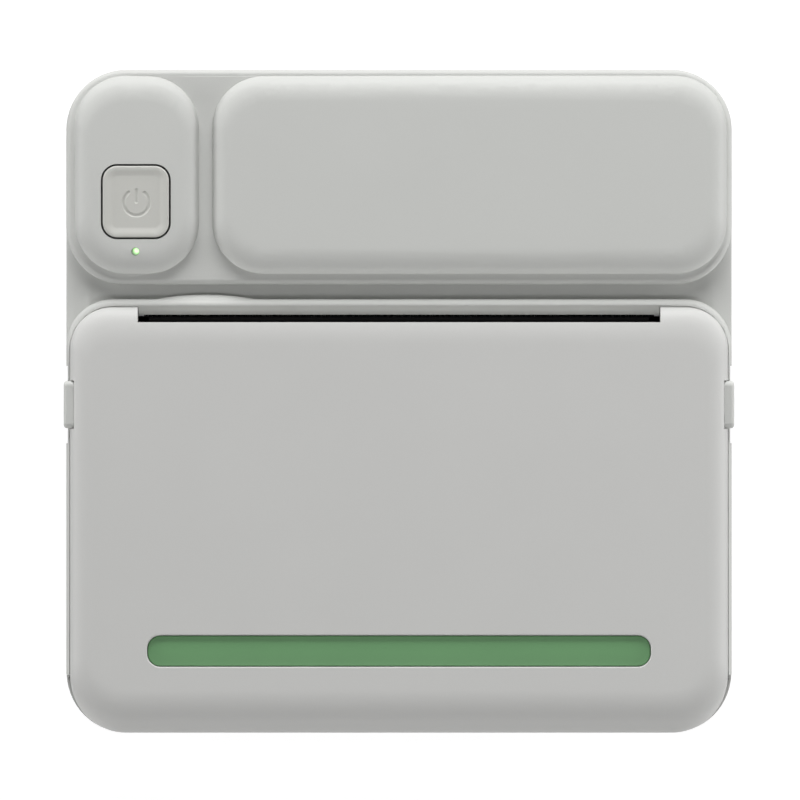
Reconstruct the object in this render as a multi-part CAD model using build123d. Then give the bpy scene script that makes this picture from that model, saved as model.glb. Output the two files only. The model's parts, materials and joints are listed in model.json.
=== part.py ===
from build123d import *
import math
import os

# Thermal receipt printer lying on its back, in millimetres.
# +X is across the paper, +Y points to the head end and +Z out of the face.
# The origin is at the bottom centre, on the surface that the feet stand on.

# Case
BODY_W = 146.0
BODY_L = 145.5
BODY_CORNER_R = 13.2
WALL = 2.2
FOOT_STAND = 1.2
PARTING_Z = 25.0
REAR_EDGE_R = 3.0

# Head end of the face
PLATE_Z = 45.2
GROOVE_W = 3.3
PLATE_CORNER_R = 12.5
PLATE_EDGE_R = 1.2
GROOVE_FLOOR_Z = 42.4
GROOVE_FLOOR_T = 2.2
POD_HEIGHT = 3.6
POD_ROLL_H = 3.4
POD_ROLL_END_W = 5.8
POD_ROLL_SIDE_W = 3.8
POD_CORNER_R = 11.2
POD_TOP_MARGIN = 1.45
POD_FOOT_MARGIN = 2.3
POD_LEFT_MARGIN = 1.9
POD_LEFT_W = 27.2
POD_SPLIT = 3.0
POD_RIGHT_MARGIN = 1.2

# Rim round the cover and its swell in the groove
RIM_Z = 45.0
RIM_FROM_PLATEN = 10.8
RIM_CORNER_R = 10.3
RIM_ROLL_R = 1.4
LIP_T = 0.8
LIP_END_MARGIN = 12.75
LEDGE_Z = 40.5
SLOT_MARGIN = 15.7
SLOT_FROM_RIM = 3.36
SLOT_L = 1.6
SLOT_RIM_DROP = 1.8
SWELL_R = 59.0
SWELL_RISE = 1.05
SWELL_DROP = 0.6
SWELL_SLOPE_W = 0.8
SWELL_SLOPE_H = 1.2

# Roll cover
FACE_Z = 48.5
COVER_T = 2.0
COVER_GAP = 0.15
COVER_FROM_RIM = 1.85
COVER_HEAD_CORNER_R = 9.2
COVER_SKIRT_GAP = 0.8
ROLL_HINGE_W = 9.5
ROLL_HINGE_H = 7.0
ROLL_HEAD_W = 8.0
ROLL_SIDE_W = 4.8
ROLL_EDGE_H = 3.3
HINGE_BAY_MARGIN = 13.0
HINGE_BAY_GAP = 0.5
HINGE_WALL_DROP = 0.4

# Cover hinge
HINGE_Z = 29.0
HINGE_BARREL_R = 3.6
HINGE_BARREL_BORE_R = 2.0
HINGE_CHEEK_T = 3.0
HINGE_PIN_R = 1.2
HINGE_PIN_FIT = 0.05
HINGE_EAR_T = 3.0
HINGE_EAR_HALF_Y = 2.85
HINGE_EAR_TOP = 34.0

# Green strip
STRIP_MARGIN = 17.9
STRIP_L = 6.73
STRIP_FROM_HINGE_END = 18.05
STRIP_CORNER_R = 2.85
STRIP_T = 1.0
STRIP_RECESS = 0.9
STRIP_GAP = 0.2
STRIP_BACKING_T = 1.6
STRIP_BACKING_MARGIN = 2.4

# Power button and lamp in the left pod
BUTTON_IN_X = 13.45
BUTTON_IN_Y = 15.75
BUTTON_W = 14.5
BUTTON_L = 15.65
BUTTON_CORNER_R = 3.15
BUTTON_GAP = 0.4
BUTTON_PROUD = 0.2
BUTTON_TRAVEL = 0.5
BUTTON_FLANGE = 1.4
BUTTON_FLANGE_T = 1.2
BUTTON_FLANGE_GAP = 0.4
BUTTON_WELL_DEPTH = 5.4
BUTTON_WELL_T = 1.2
BUTTON_DISH_R = 90.0
BUTTON_DISH_DEPTH = 0.35
BUTTON_DISH_MARGIN = 0.9
LAMP_IN_X = 13.35
LAMP_IN_Y = 4.8
LAMP_HOLE_R = 0.88
LAMP_PIPE_FIT = 0.03
LAMP_SINK = 0.1

# Feet and case screws
FOOT_R = 5.5
FOOT_SUNK = 0.8
FOOT_MARGIN = 18.0
FOOT_CHAMFER = 0.3
FOOT_GAP = 0.1
SCREW_FIT = 0.02
CASE_SCREW_OUT = 6.6
CASE_BOSS_R = 4.6
CASE_SEAT_Z = 15.0
CASE_SCREW_R = 1.5
CASE_SCREW_HEAD_R = 2.8
CASE_SCREW_HEAD_H = 2.2
CASE_SCREW_L = 18.0
CASE_BOSS_TOP = 37.0
SMALL_SCREW_R = 1.0
SMALL_HEAD_R = 1.9
SMALL_HEAD_H = 1.2
SMALL_SCREW_L = 6.0
LABEL_W = 56.0
LABEL_L = 34.0
LABEL_DEPTH = 0.3

# Paper bay and ramp
ROLL_R = 20.0
ROLL_FROM_HINGE_END = 31.75
BAY_GAP = 0.6
LINER_T = 1.6
LINER_STAND = 0.6
LINER_WALL_TOP = 37.0
LINER_END_TOP = 40.0
BAY_MARGIN = 15.0
RAMP_GAP = 2.0
RAMP_END_DROP = 32.0
BAY_TAB_W = 6.0
BAY_TAB_T = 2.0
BAY_TAB_Z = 12.0
BAY_TAB_OUT = 6.4
POST_R = 2.8

# Paper guides
GUIDE_T = 2.5
PAPER_MARGIN = 1.8
GUIDE_R = 19.6
GUIDE_TOP = 41.0
GUIDE_TRAVEL = 28.5
GUIDE_HUB_R = 5.5
GUIDE_HUB_L = 4.0
GUIDE_SLOT_FROM_ROLL = 27.5
GUIDE_SLOT_L = 3.0
GUIDE_SLOT_GAP = 0.3
GUIDE_ARM_TOP = 33.0
RACK_MODULE = 0.8
RACK_T = 2.0
RACK_H = 3.6
RACK_GAP = 2.1
GUIDE_PINION_TEETH = 14
GUIDE_PINION_FROM_ROLL = 33.0
GUIDE_PINION_H = 4.0
PINION_POST_R = 1.5
PINION_COLLAR_R = 2.6
PINION_COLLAR_H = 1.5
RACK_OVERRUN = 5.0
RACK_RIB_T = 1.3
RACK_RIB_GAP = 0.3

# Platen
PLATEN_FROM_ROLL = 52.6
PLATEN_Z = 34.5
PLATEN_R = 6.0
PLATEN_MARGIN = 16.0
SHAFT_R = 1.5
SHAFT_FIT = 0.05
BUSHING_R = 3.5
NOTCH_FIT = 0.1
NOTCH_FLARE = 0.6
ARM_GAP = 2.4
ARM_T = 2.0
ARM_HALF_Y = 5.0
CARRIER_BACK = 6.6
CARRIER_FRONT = 3.6
CARRIER_Z = 43.3
CARRIER_T = 1.5
CARRIER_FLANGE_T = 1.2
CARRIER_FLANGE_H = 2.1
CARRIER_SCREW_IN = 12.0
CARRIER_BOSS_R = 2.4

# Mechanism frame and print head
FRAME_GAP = 0.6
FRAME_T = 2.0
FRAME_BACK = 18.6
FRAME_FRONT = 21.4
FRAME_TOP = 38.0
FRAME_FOOT_Z = 20.0
FRAME_FOOT_T = 1.2
FRAME_FOOT_L = 7.0
FRAME_FOOT_OUT = 6.0
MOTOR_PLATE_BACK = 12.6
MOTOR_PLATE_FRONT = 15.9
MOTOR_PLATE_BOTTOM = 6.0
CROSSBAR_FRONT = 15.4
CROSSBAR_T = 2.0
CROSSBAR_Z = (22.5, 37.6)
NIP_GAP = 0.15
CERAMIC_T = 1.0
CERAMIC_SHORT = 2.0
CERAMIC_Z = (30.0, 38.0)
SINK_T = 2.0
SINK_LONG = 1.0
SINK_Z = (24.4, 37.6)
SINK_LUG_Y = 4.25
SINK_LUG_TOP = 28.4
HEAD_PIVOT_Z = 26.4
HEAD_PIVOT_BACK = 2.75
HEAD_PIVOT_R = 1.0
HEAD_SPRING_IN = 22.0
HEAD_SPRING_Z = 33.0
SPRING_WIRE_R = 0.35
HEAD_SPRING_R = 2.2
HEAD_SPRING_TURNS = 4.0
HEAD_PEG_R = 1.5
HEAD_PEG_L = 2.5

# Tear bar
TEAR_SHORT = 1.0
TEAR_T = 0.5
TEAR_TOP = 42.0
TEAR_PITCH = 1.6
TEAR_TOOTH_H = 0.8

# Gear train
MODULE = 0.5
PRESSURE_ANGLE = math.radians(20.0)
ADDENDUM = 0.85
DEDENDUM = 1.2
BACKLASH = 0.12
CENTRE_SPREAD = 0.05
PLATEN_TEETH = 22
IDLER_SMALL_TEETH = 16
IDLER_BIG_TEETH = 40
MOTOR_TEETH = 12
IDLER_ANGLE = -86.0
MOTOR_ANGLE = -86.0
GEAR_GAP = 0.8
GEAR_W = 2.5
BIG_GEAR_GAP = 0.5
BIG_GEAR_W = 2.0
AXLE_R = 1.0
IDLER_HUB_R = 2.2
MOTOR_R = 8.5
MOTOR_L = 18.0
MOTOR_SHAFT_R = 0.75
MOTOR_BOSS_R = 3.5
MOTOR_EAR_OUT = 10.5
MOTOR_EAR_T = 1.2
MOTOR_EAR_W = 6.0
MOTOR_SHAFT_DEPTH = 6.0

# Release tabs
TAB_BACK = 17.5
TAB_L = 10.4
TAB_PROUD = 0.5
TAB_Z = (42.2, 47.0)
TAB_TRAVEL = 1.5
TAB_GAP = 0.15
TAB_BLOCK_L = 4.7
TAB_CORNER_R = 1.2
TAB_FACE_R = 0.7
TAB_WING = 1.5
TAB_WING_T = 1.2
TAB_WING_Z = (41.6, 44.2)
TAB_WING_GAP = 0.25
TAB_SLIDER_IN = 13.5
TAB_SLIDER_Z = (42.2, 44.2)
TAB_SLIDER_HALF_Y = 3.8
TAB_LEG_IN = 7.7
TAB_LEG_T = 1.8
TAB_LEG_Z = 36.5
TAB_LEG_HALF_Y = 2.3
TAB_RAIL_T = 1.2
TAB_RAIL_IN = 7.5
TAB_RAIL_L = 8.0
TAB_RAIL_GAP = 0.2
TAB_POST_T = 1.5
TAB_SPRING_L = 6.0
TAB_SPRING_R = 1.5
TAB_SPRING_TURNS = 4.0
SCOOP_HALF_Y = 8.5
SCOOP_DEPTH = 0.45
SCOOP_Z = 30.0

# Electronics
BOARD_SIDE_MARGIN = 3.5
BOARD_PAST_RIBBON = 7.0
BOARD_FOOT_MARGIN = 2.0
BOARD_TOP_MARGIN = 14.75
BOARD_Z = 36.0
BOARD_T = 1.6
BOARD_SCREW_IN = 3.0
BOARD_SCREW_LEFT = 19.5
BOARD_BOSS_R = 2.3
SWITCH_W = 6.0
SWITCH_H = 2.2
PLUNGER_R = 1.6
PLUNGER_FIT = 0.1
PLUNGER_RISE = 0.8
PLUNGER_DEPTH = 0.8
LAMP_DIODE_W = 2.0
LAMP_DIODE_H = 1.2
LAMP_PIPE_GAP = 0.3
PORT_W = 8.94
PORT_H = 3.26
PORT_L = 7.3
PORT_WALL = 0.3
PORT_SINK = 0.4
PORT_GAP = 0.35
PORT_TONGUE_T = 0.7
BATTERY_W = 68.0
BATTERY_FOOT_MARGIN = 5.8
BATTERY_TOP_MARGIN = 5.25
BATTERY_H = 16.0
BATTERY_EDGE_R = 2.0
CRADLE_T = 1.6
CRADLE_H = 8.0
CRADLE_GAP = 0.3
RIBBON_W = 20.0
RIBBON_T = 0.3
SENSOR_W = 4.0
SENSOR_L = 3.0
SENSOR_BACK = 6.1

# Small sizes of the inner pieces
CROWN_LOW_STEPS = 2
CROWN_STEPS = 6
DRIVE_SHARE = 0.4
CARRIER_SCREW_L = 4.0
POST_END = 1.2
GUIDE_CLEAR = 0.8
SENSOR_H = 2.5
SHAFT_END = 1.0
SHAFT_TIP = 0.25
AXLE_END = 0.6
UPRIGHT_BACK = 9.6
UPRIGHT_FOOT_TOP = 24.0
RIBBON_IN = 3.0
RIBBON_UNDER = 1.6
RIBBON_BEND_R = 1.0
SOCKET_H = 2.5
SOCKET_L = 4.0
SOCKET_MARGIN = 1.5
CHIP_IN = 34.0
CHIP_STEP = 16.0
CHIP_W = 10.0
CHIP_H = 1.2
BOARD_CORNER_R = 2.0
PORT_TONGUE_IN = 1.2
BUTTON_EDGE_R = 0.5
BUTTON_STEM_R = 2.0
MARK_R = 2.77
MARK_STROKE = 0.8
MARK_END_R = 0.36
MARK_OPEN = 35.0
MARK_BAR_L = 3.2
MARK_DEPTH = 0.3

# Worked out from the sizes above
HALF_W = BODY_W / 2
HALF_L = BODY_L / 2
FLOOR_Z = FOOT_STAND + WALL
FAR = 200.0

# Worked out along the case, from its hinge end to its head end
HINGE_Y = -HALF_L + HINGE_BARREL_R
LIP_END_Y = -HALF_L + LIP_END_MARGIN
STRIP_CENTRE_Y = -HALF_L + STRIP_FROM_HINGE_END
ROLL_Y = -HALF_L + ROLL_FROM_HINGE_END
GUIDE_SLOT_Y = (ROLL_Y + GUIDE_SLOT_FROM_ROLL, ROLL_Y + GUIDE_SLOT_FROM_ROLL + GUIDE_SLOT_L)
GUIDE_PINION_Y = ROLL_Y + GUIDE_PINION_FROM_ROLL
PLATEN_Y = ROLL_Y + PLATEN_FROM_ROLL
SENSOR_Y = PLATEN_Y - SENSOR_BACK
TAB_Y = (PLATEN_Y - TAB_BACK, PLATEN_Y - TAB_BACK + TAB_L)
TAB_CENTRE_Y = (TAB_Y[0] + TAB_Y[1]) / 2
CARRIER_Y = (PLATEN_Y - CARRIER_BACK, PLATEN_Y + CARRIER_FRONT)
CARRIER_MID_Y = (CARRIER_Y[0] + CARRIER_Y[1]) / 2
UPRIGHT_Y = PLATEN_Y - UPRIGHT_BACK
FRAME_Y = (PLATEN_Y - FRAME_BACK, PLATEN_Y + FRAME_FRONT)
MOTOR_PLATE_Y = (PLATEN_Y - MOTOR_PLATE_BACK, PLATEN_Y + MOTOR_PLATE_FRONT)
CROSSBAR_Y = (PLATEN_Y + CROSSBAR_FRONT, PLATEN_Y + CROSSBAR_FRONT + CROSSBAR_T)
RIM_Y = PLATEN_Y + RIM_FROM_PLATEN
COVER_HEAD_Y = RIM_Y - COVER_FROM_RIM
SLOT_HEAD_Y = RIM_Y - SLOT_FROM_RIM
SLOT_COVER_Y = SLOT_HEAD_Y - SLOT_L
PLATE_Y = RIM_Y + GROOVE_W
POD_BOTTOM_Y = PLATE_Y + POD_FOOT_MARGIN
POD_TOP_Y = HALF_L - POD_TOP_MARGIN
LAMP_Y = POD_BOTTOM_Y + LAMP_IN_Y
BUTTON_Y = POD_BOTTOM_Y + BUTTON_IN_Y
BOARD_Y = (POD_BOTTOM_Y + BOARD_FOOT_MARGIN, HALF_L - BOARD_TOP_MARGIN)
BOARD_SCREW_Y = (BOARD_Y[0] + BOARD_SCREW_IN, BOARD_Y[1] - BOARD_SCREW_IN)
BOARD_MID_Y = (BOARD_Y[0] + BOARD_Y[1]) / 2
RIBBON_Y = BOARD_Y[0] + RIBBON_IN
BATTERY_Y = (PLATE_Y + BATTERY_FOOT_MARGIN, HALF_L - BATTERY_TOP_MARGIN)

# Worked out across the case
SLOT_HALF_W = HALF_W - SLOT_MARGIN
POD_LEFT_X = (-HALF_W + POD_LEFT_MARGIN, -HALF_W + POD_LEFT_MARGIN + POD_LEFT_W)
POD_RIGHT_X = (POD_LEFT_X[1] + POD_SPLIT, HALF_W - POD_RIGHT_MARGIN)
SWELL_X = POD_LEFT_X[1] + POD_SPLIT / 2
HINGE_BAY_HALF_W = HALF_W - HINGE_BAY_MARGIN
SKIRT_HALF_W = HINGE_BAY_HALF_W - HINGE_BAY_GAP
STRIP_W = BODY_W - 2 * STRIP_MARGIN
BUTTON_X = POD_LEFT_X[0] + BUTTON_IN_X
LAMP_X = POD_LEFT_X[0] + LAMP_IN_X
BAY_HALF_W = HALF_W - BAY_MARGIN
LINER_HALF_W = BAY_HALF_W + LINER_T
PLATEN_HALF_W = HALF_W - PLATEN_MARGIN
GUIDE_X = PLATEN_HALF_W - PAPER_MARGIN
CARRIER_SCREW_X = (CARRIER_SCREW_IN - PLATEN_HALF_W, 0.0, PLATEN_HALF_W - CARRIER_SCREW_IN)
CERAMIC_HALF_W = PLATEN_HALF_W - CERAMIC_SHORT
SINK_HALF_W = PLATEN_HALF_W + SINK_LONG
TEAR_HALF_W = PLATEN_HALF_W - TEAR_SHORT
HEAD_SPRING_X = PLATEN_HALF_W - HEAD_SPRING_IN
ARM_X = PLATEN_HALF_W + ARM_GAP
FRAME_X = ARM_X + ARM_T + FRAME_GAP
GEAR_X = (FRAME_X + FRAME_T + GEAR_GAP, FRAME_X + FRAME_T + GEAR_GAP + GEAR_W)
BIG_GEAR_X = (GEAR_X[1] + BIG_GEAR_GAP, GEAR_X[1] + BIG_GEAR_GAP + BIG_GEAR_W)
TAB_OUT = HALF_W + TAB_PROUD
TAB_SLIDER_X = TAB_OUT - TAB_SLIDER_IN
TAB_LEG_X = (TAB_OUT - TAB_LEG_IN, TAB_OUT - TAB_LEG_IN + TAB_LEG_T)
TAB_RAIL_X = (TAB_OUT - TAB_RAIL_IN - TAB_RAIL_L, TAB_OUT - TAB_RAIL_IN)
BOARD_X = (-HALF_W + BOARD_SIDE_MARGIN, RIBBON_W / 2 + BOARD_PAST_RIBBON)
BOARD_SCREW_X = (BOARD_X[0] + BOARD_SCREW_LEFT, BOARD_X[1] - BOARD_SCREW_IN)
CHIP_X = BOARD_X[0] + CHIP_IN

# Worked out in height and round the gears
POD_TOP_Z = PLATE_Z + POD_HEIGHT
LIP_X = HALF_W - LIP_T
COVER_HALF_W = LIP_X - COVER_GAP
COVER_INNER_Z = FACE_Z - COVER_T
COVER_SKIRT_Z = LEDGE_Z + COVER_SKIRT_GAP
BAY_R = ROLL_R + BAY_GAP
LINER_R = BAY_R + LINER_T
ROLL_Z = FLOOR_Z + LINER_STAND + LINER_R
RAMP_Z = PLATEN_Z - PLATEN_R - RAMP_GAP
RACK_PITCH_R = RACK_MODULE * GUIDE_PINION_TEETH / 2
RACK_TOP = RAMP_Z - LINER_T - RACK_GAP
NIP_Y = PLATEN_Y + PLATEN_R + NIP_GAP
SINK_Y = NIP_Y + CERAMIC_T
SINK_BACK_Y = SINK_Y + SINK_T
HEAD_PIVOT_Y = SINK_Y + HEAD_PIVOT_BACK
BOARD_TOP = BOARD_Z + BOARD_T
SWITCH_TOP = BOARD_TOP + SWITCH_H
IDLER_DISTANCE = MODULE * (PLATEN_TEETH + IDLER_SMALL_TEETH) / 2 + CENTRE_SPREAD
MOTOR_DISTANCE = MODULE * (IDLER_BIG_TEETH + MOTOR_TEETH) / 2 + CENTRE_SPREAD
IDLER_Y = PLATEN_Y + IDLER_DISTANCE * math.cos(math.radians(IDLER_ANGLE))
IDLER_Z = PLATEN_Z + IDLER_DISTANCE * math.sin(math.radians(IDLER_ANGLE))
MOTOR_Y = IDLER_Y + MOTOR_DISTANCE * math.cos(math.radians(MOTOR_ANGLE))
MOTOR_Z = IDLER_Z + MOTOR_DISTANCE * math.sin(math.radians(MOTOR_ANGLE))
COVER_HINGE_CORNER_R = BODY_CORNER_R - LIP_T - COVER_GAP
STRIP_Z = FACE_Z - STRIP_RECESS - STRIP_T
LOW_Z = GROOVE_FLOOR_Z - GROOVE_FLOOR_T


def block(x0, x1, y0, y1, z0, z1):
    """Plain block between two corners, given in any order."""
    size = (abs(x1 - x0), abs(y1 - y0), abs(z1 - z0))
    return Pos((x0 + x1) / 2, (y0 + y1) / 2, (z0 + z1) / 2) * Box(*size)


def rod_x(y, z, r, x0, x1):
    """Round rod along X."""
    return Pos((x0 + x1) / 2, y, z) * Rot(0, 90, 0) * Cylinder(r, abs(x1 - x0))


def rod_y(x, z, r, y0, y1):
    """Round rod along Y."""
    return Pos(x, (y0 + y1) / 2, z) * Rot(90, 0, 0) * Cylinder(r, abs(y1 - y0))


def rod_z(x, y, r, z0, z1):
    """Round rod along Z."""
    return Pos(x, y, (z0 + z1) / 2) * Cylinder(r, abs(z1 - z0))


def prism_x(face, x0, x1):
    """Face drawn in (Y, Z), extruded along X."""
    placed = Plane(origin=(x0, 0, 0), x_dir=(0, 1, 0), z_dir=(1, 0, 0)) * face
    return extrude(placed, amount=x1 - x0, dir=(1, 0, 0))


def prism_z(face, z0, z1):
    """Face drawn in (X, Y), extruded along Z."""
    return extrude(Pos(0, 0, z0) * face, amount=z1 - z0, dir=(0, 0, 1))


def round_rect(x0, x1, y0, y1, r):
    """Rounded rectangle between two corners, as a face."""
    return Pos((x0 + x1) / 2, (y0 + y1) / 2) * RectangleRounded(x1 - x0, y1 - y0, r)


def case_outline(inset=0.0):
    """Plan of the case, drawn in by inset."""
    return RectangleRounded(BODY_W - 2 * inset, BODY_L - 2 * inset, BODY_CORNER_R - inset)


def corner_points(out):
    """Points on the diagonal of each case corner, out from the corner arc's centre."""
    step = out * math.cos(math.radians(45.0))
    x = HALF_W - BODY_CORNER_R + step
    y = HALF_L - BODY_CORNER_R + step
    return [(sx * x, sy * y) for sx in (-1, 1) for sy in (-1, 1)]


def screw(r, head_r, head_h, length):
    """Screw along +Z with its seat at the origin and its head below."""
    body = rod_z(0, 0, r, 0, length) + rod_z(0, 0, head_r, -head_h, 0)
    drive = Pos(0, 0, -head_h) * extrude(RegularPolygon(head_r * DRIVE_SHARE, 6), amount=head_h / 2)
    return body - drive


def small_screw():
    """Small self-tapping screw for the inner pieces."""
    return screw(SMALL_SCREW_R, SMALL_HEAD_R, SMALL_HEAD_H, SMALL_SCREW_L)


def coil_spring(r, wire_r, length, turns):
    """Open coil spring along +Z from the origin, with its wire inside the length."""
    rise = length - 2 * wire_r
    path = Pos(0, 0, wire_r) * Helix(pitch=rise / turns, height=rise, radius=r)
    section = Plane(origin=path @ 0, z_dir=path % 0) * Circle(wire_r)
    return sweep(section, path=path, is_frenet=True)


# Gears


def involute(angle):
    """Involute function of an angle in radians."""
    return math.tan(angle) - angle


def gear_face(teeth, module, phase_deg, bore_r):
    """Involute gear outline with one tooth centred on phase_deg."""
    pitch_r = module * teeth / 2
    base_r = pitch_r * math.cos(PRESSURE_ANGLE)
    tip_r = pitch_r + ADDENDUM * module
    root_r = pitch_r - DEDENDUM * module
    pitch_half = (math.pi * module - BACKLASH) / (4 * pitch_r)
    foot_r = max(base_r, root_r)
    flank = [foot_r + (tip_r - foot_r) * i / 3 for i in range(4)]

    def half_angle(r):
        return pitch_half + involute(PRESSURE_ANGLE) - involute(math.acos(min(1.0, base_r / r)))

    rising = [(r, -half_angle(r)) for r in flank]
    if foot_r > root_r:
        rising.insert(0, (root_r, -half_angle(foot_r)))
    tooth = rising + [(r, -a) for r, a in reversed(rising)]
    points = []
    for i in range(teeth):
        centre = math.radians(phase_deg) + 2 * math.pi * i / teeth
        for r, a in tooth:
            points.append((r * math.cos(centre + a), r * math.sin(centre + a)))
    outline = make_face(Polyline(*points, close=True))
    return outline - Circle(bore_r)


def rack_face(x0, x1, gap_x, module, back):
    """Rack outline along X with teeth up to +Y; a gap is centred on gap_x at pitch line y = 0."""
    pitch = math.pi * module
    tip = ADDENDUM * module
    root = -DEDENDUM * module
    half = (pitch - BACKLASH) / 4
    slope = math.tan(PRESSURE_ANGLE)
    first = math.ceil((x0 - gap_x) / pitch + 1)
    last = math.floor((x1 - gap_x) / pitch - 1)
    points = [(x0, root - back), (x0, root)]
    for i in range(first, last + 1):
        centre = gap_x + (i + 0.5) * pitch
        points.append((centre - half + root * slope, root))
        points.append((centre - half + tip * slope, tip))
        points.append((centre + half - tip * slope, tip))
        points.append((centre + half - root * slope, root))
    points += [(x1, root), (x1, root - back)]
    return make_face(Polyline(*points, close=True))


# Rear half of the case


def make_rear_housing():
    """Tray with floor, screw bosses, posts, foot recesses and battery cradle."""
    tray = prism_z(case_outline(), FOOT_STAND, PARTING_Z)
    tray = fillet(tray.edges().group_by(Axis.Z)[0], REAR_EDGE_R)
    tray -= prism_z(case_outline(WALL), FLOOR_Z, PARTING_Z)
    for x, y in corner_points(CASE_SCREW_OUT):
        tray += rod_z(x, y, CASE_BOSS_R, FLOOR_Z, PARTING_Z)
    for x, y, top in frame_posts() + bay_posts():
        tray += rod_z(x, y, POST_R, FLOOR_Z, top)
    tray += battery_cradle()
    tray += block(-BAY_HALF_W, BAY_HALF_W, ROLL_Y - POST_R, ROLL_Y + POST_R, FLOOR_Z, FLOOR_Z + LINER_STAND)
    for x, y in corner_points(CASE_SCREW_OUT):
        tray -= rod_z(x, y, CASE_SCREW_HEAD_R + FOOT_GAP, 0, CASE_SEAT_Z)
        tray -= rod_z(x, y, CASE_SCREW_R + FOOT_GAP, CASE_SEAT_Z, PARTING_Z)
    for x, y, top in frame_posts() + bay_posts():
        tray -= rod_z(x, y, SMALL_SCREW_R + SCREW_FIT, top - SMALL_SCREW_L, top)
    for x, y in foot_points():
        tray -= rod_z(x, y, FOOT_R + FOOT_GAP, 0, FOOT_STAND + FOOT_SUNK)
    label = round_rect(-LABEL_W / 2, LABEL_W / 2, -LABEL_L / 2, LABEL_L / 2, REAR_EDGE_R)
    tray -= prism_z(label, 0, FOOT_STAND + LABEL_DEPTH)
    hinge_relief = block(
        -HINGE_BAY_HALF_W, HINGE_BAY_HALF_W, -HALF_L, LIP_END_Y, PARTING_Z - HINGE_WALL_DROP, PARTING_Z
    )
    return tray - hinge_relief


def foot_points():
    """Centres of the four feet."""
    x = HALF_W - FOOT_MARGIN
    y = HALF_L - FOOT_MARGIN
    return [(sx * x, sy * y) for sx in (-1, 1) for sy in (-1, 1)]


def frame_posts():
    """Posts under the four feet of the mechanism frame: x, y and top."""
    x = FRAME_X + FRAME_T + FRAME_FOOT_OUT / 2
    ys = (FRAME_Y[0] + FRAME_FOOT_L / 2, FRAME_Y[1] - FRAME_FOOT_L / 2)
    return [(side * x, y, FRAME_FOOT_Z) for side in (-1, 1) for y in ys]


def bay_posts():
    """Posts under the two side tabs of the paper bay: x, y and top."""
    x = LINER_HALF_W + BAY_TAB_OUT / 2
    return [(side * x, ROLL_Y, BAY_TAB_Z) for side in (-1, 1)]


def battery_cradle():
    """Low wall round the battery pack."""
    half = BATTERY_W / 2 + CRADLE_GAP
    y0 = BATTERY_Y[0] - CRADLE_GAP
    y1 = BATTERY_Y[1] + CRADLE_GAP
    top = FLOOR_Z + CRADLE_H
    outer = block(-half - CRADLE_T, half + CRADLE_T, y0 - CRADLE_T, y1 + CRADLE_T, FLOOR_Z, top)
    return outer - block(-half, half, y0, y1, FLOOR_Z, top)


def make_foot_pads():
    """Four round rubber pads."""
    pad = rod_z(0, 0, FOOT_R, 0, FOOT_STAND + FOOT_SUNK)
    pad = chamfer(pad.edges().group_by(Axis.Z)[0], FOOT_CHAMFER)
    return [Pos(x, y, 0) * pad for x, y in foot_points()]


def make_case_screws():
    """Four screws that hold the two halves of the case together."""
    one = screw(CASE_SCREW_R, CASE_SCREW_HEAD_R, CASE_SCREW_HEAD_H, CASE_SCREW_L)
    return [Pos(x, y, CASE_SEAT_Z) * one for x, y in corner_points(CASE_SCREW_OUT)]


# Front half of the case


def make_front_housing():
    """Head plate with pods, groove, rim and lip round the cover bay."""
    shell = front_block() - front_hollow()
    shell += pods(0.0)
    shell -= pods(WALL)
    shell += button_well()
    lamp_collar_r = LAMP_HOLE_R + BUTTON_WELL_T
    shell += rod_z(LAMP_X, LAMP_Y, lamp_collar_r, POD_TOP_Z - BUTTON_WELL_DEPTH, POD_TOP_Z - WALL)
    for x, y in corner_points(CASE_SCREW_OUT):
        shell += rod_z(x, y, CASE_BOSS_R, PARTING_Z, CASE_BOSS_TOP)
    for x in BOARD_SCREW_X:
        for y in BOARD_SCREW_Y:
            shell += rod_z(x, y, BOARD_BOSS_R, BOARD_TOP, POD_TOP_Z - WALL)
    shell -= cover_bay()
    shell += hinge_ears()
    return shell - front_holes()


def front_block():
    """Outside of the front half, with the groove between plate and rim cut down."""
    base = prism_z(case_outline(), PARTING_Z, GROOVE_FLOOR_Z)
    plate_plan = round_rect(-HALF_W, HALF_W, PLATE_Y, FAR, PLATE_CORNER_R) & case_outline()
    plate = prism_z(plate_plan, GROOVE_FLOOR_Z, PLATE_Z)
    plate = fillet(plate.edges().group_by(Axis.Z)[-1], PLATE_EDGE_R)
    rim_plan = round_rect(-HALF_W, HALF_W, -FAR, RIM_Y, RIM_CORNER_R) & case_outline()
    rim = prism_z(rim_plan, GROOVE_FLOOR_Z, RIM_Z)
    rim = fillet(rim.edges().group_by(Axis.Z)[-1], RIM_ROLL_R)
    swell = rod_z(SWELL_X, RIM_Y + SWELL_RISE - SWELL_R, SWELL_R, GROOVE_FLOOR_Z, RIM_Z - SWELL_DROP)
    swell = chamfer(swell.edges().group_by(Axis.Z)[-1], SWELL_SLOPE_H, SWELL_SLOPE_W)
    swell &= block(-HALF_W, HALF_W, RIM_Y - RIM_ROLL_R, PLATE_Y, GROOVE_FLOOR_Z, RIM_Z)
    return base + plate + rim + swell


def front_hollow():
    """Space inside the front half, below the groove floor and below the plate."""
    low = prism_z(case_outline(WALL), PARTING_Z, GROOVE_FLOOR_Z - GROOVE_FLOOR_T)
    high_plan = round_rect(-HALF_W + WALL, HALF_W - WALL, PLATE_Y + WALL, FAR, PLATE_CORNER_R - WALL)
    high = prism_z(high_plan & case_outline(WALL), GROOVE_FLOOR_Z - GROOVE_FLOOR_T, PLATE_Z - WALL)
    return low + high


def roll_draw(z, top, height, width, inset):
    """How far a rolled edge has drawn in at height z, below a face at height top."""
    t = (z - top + height) / (height - inset)
    t = min(1.0, max(0.0, t))
    return inset + (width - inset) * (1 - math.sqrt(1 - t * t))


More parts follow.
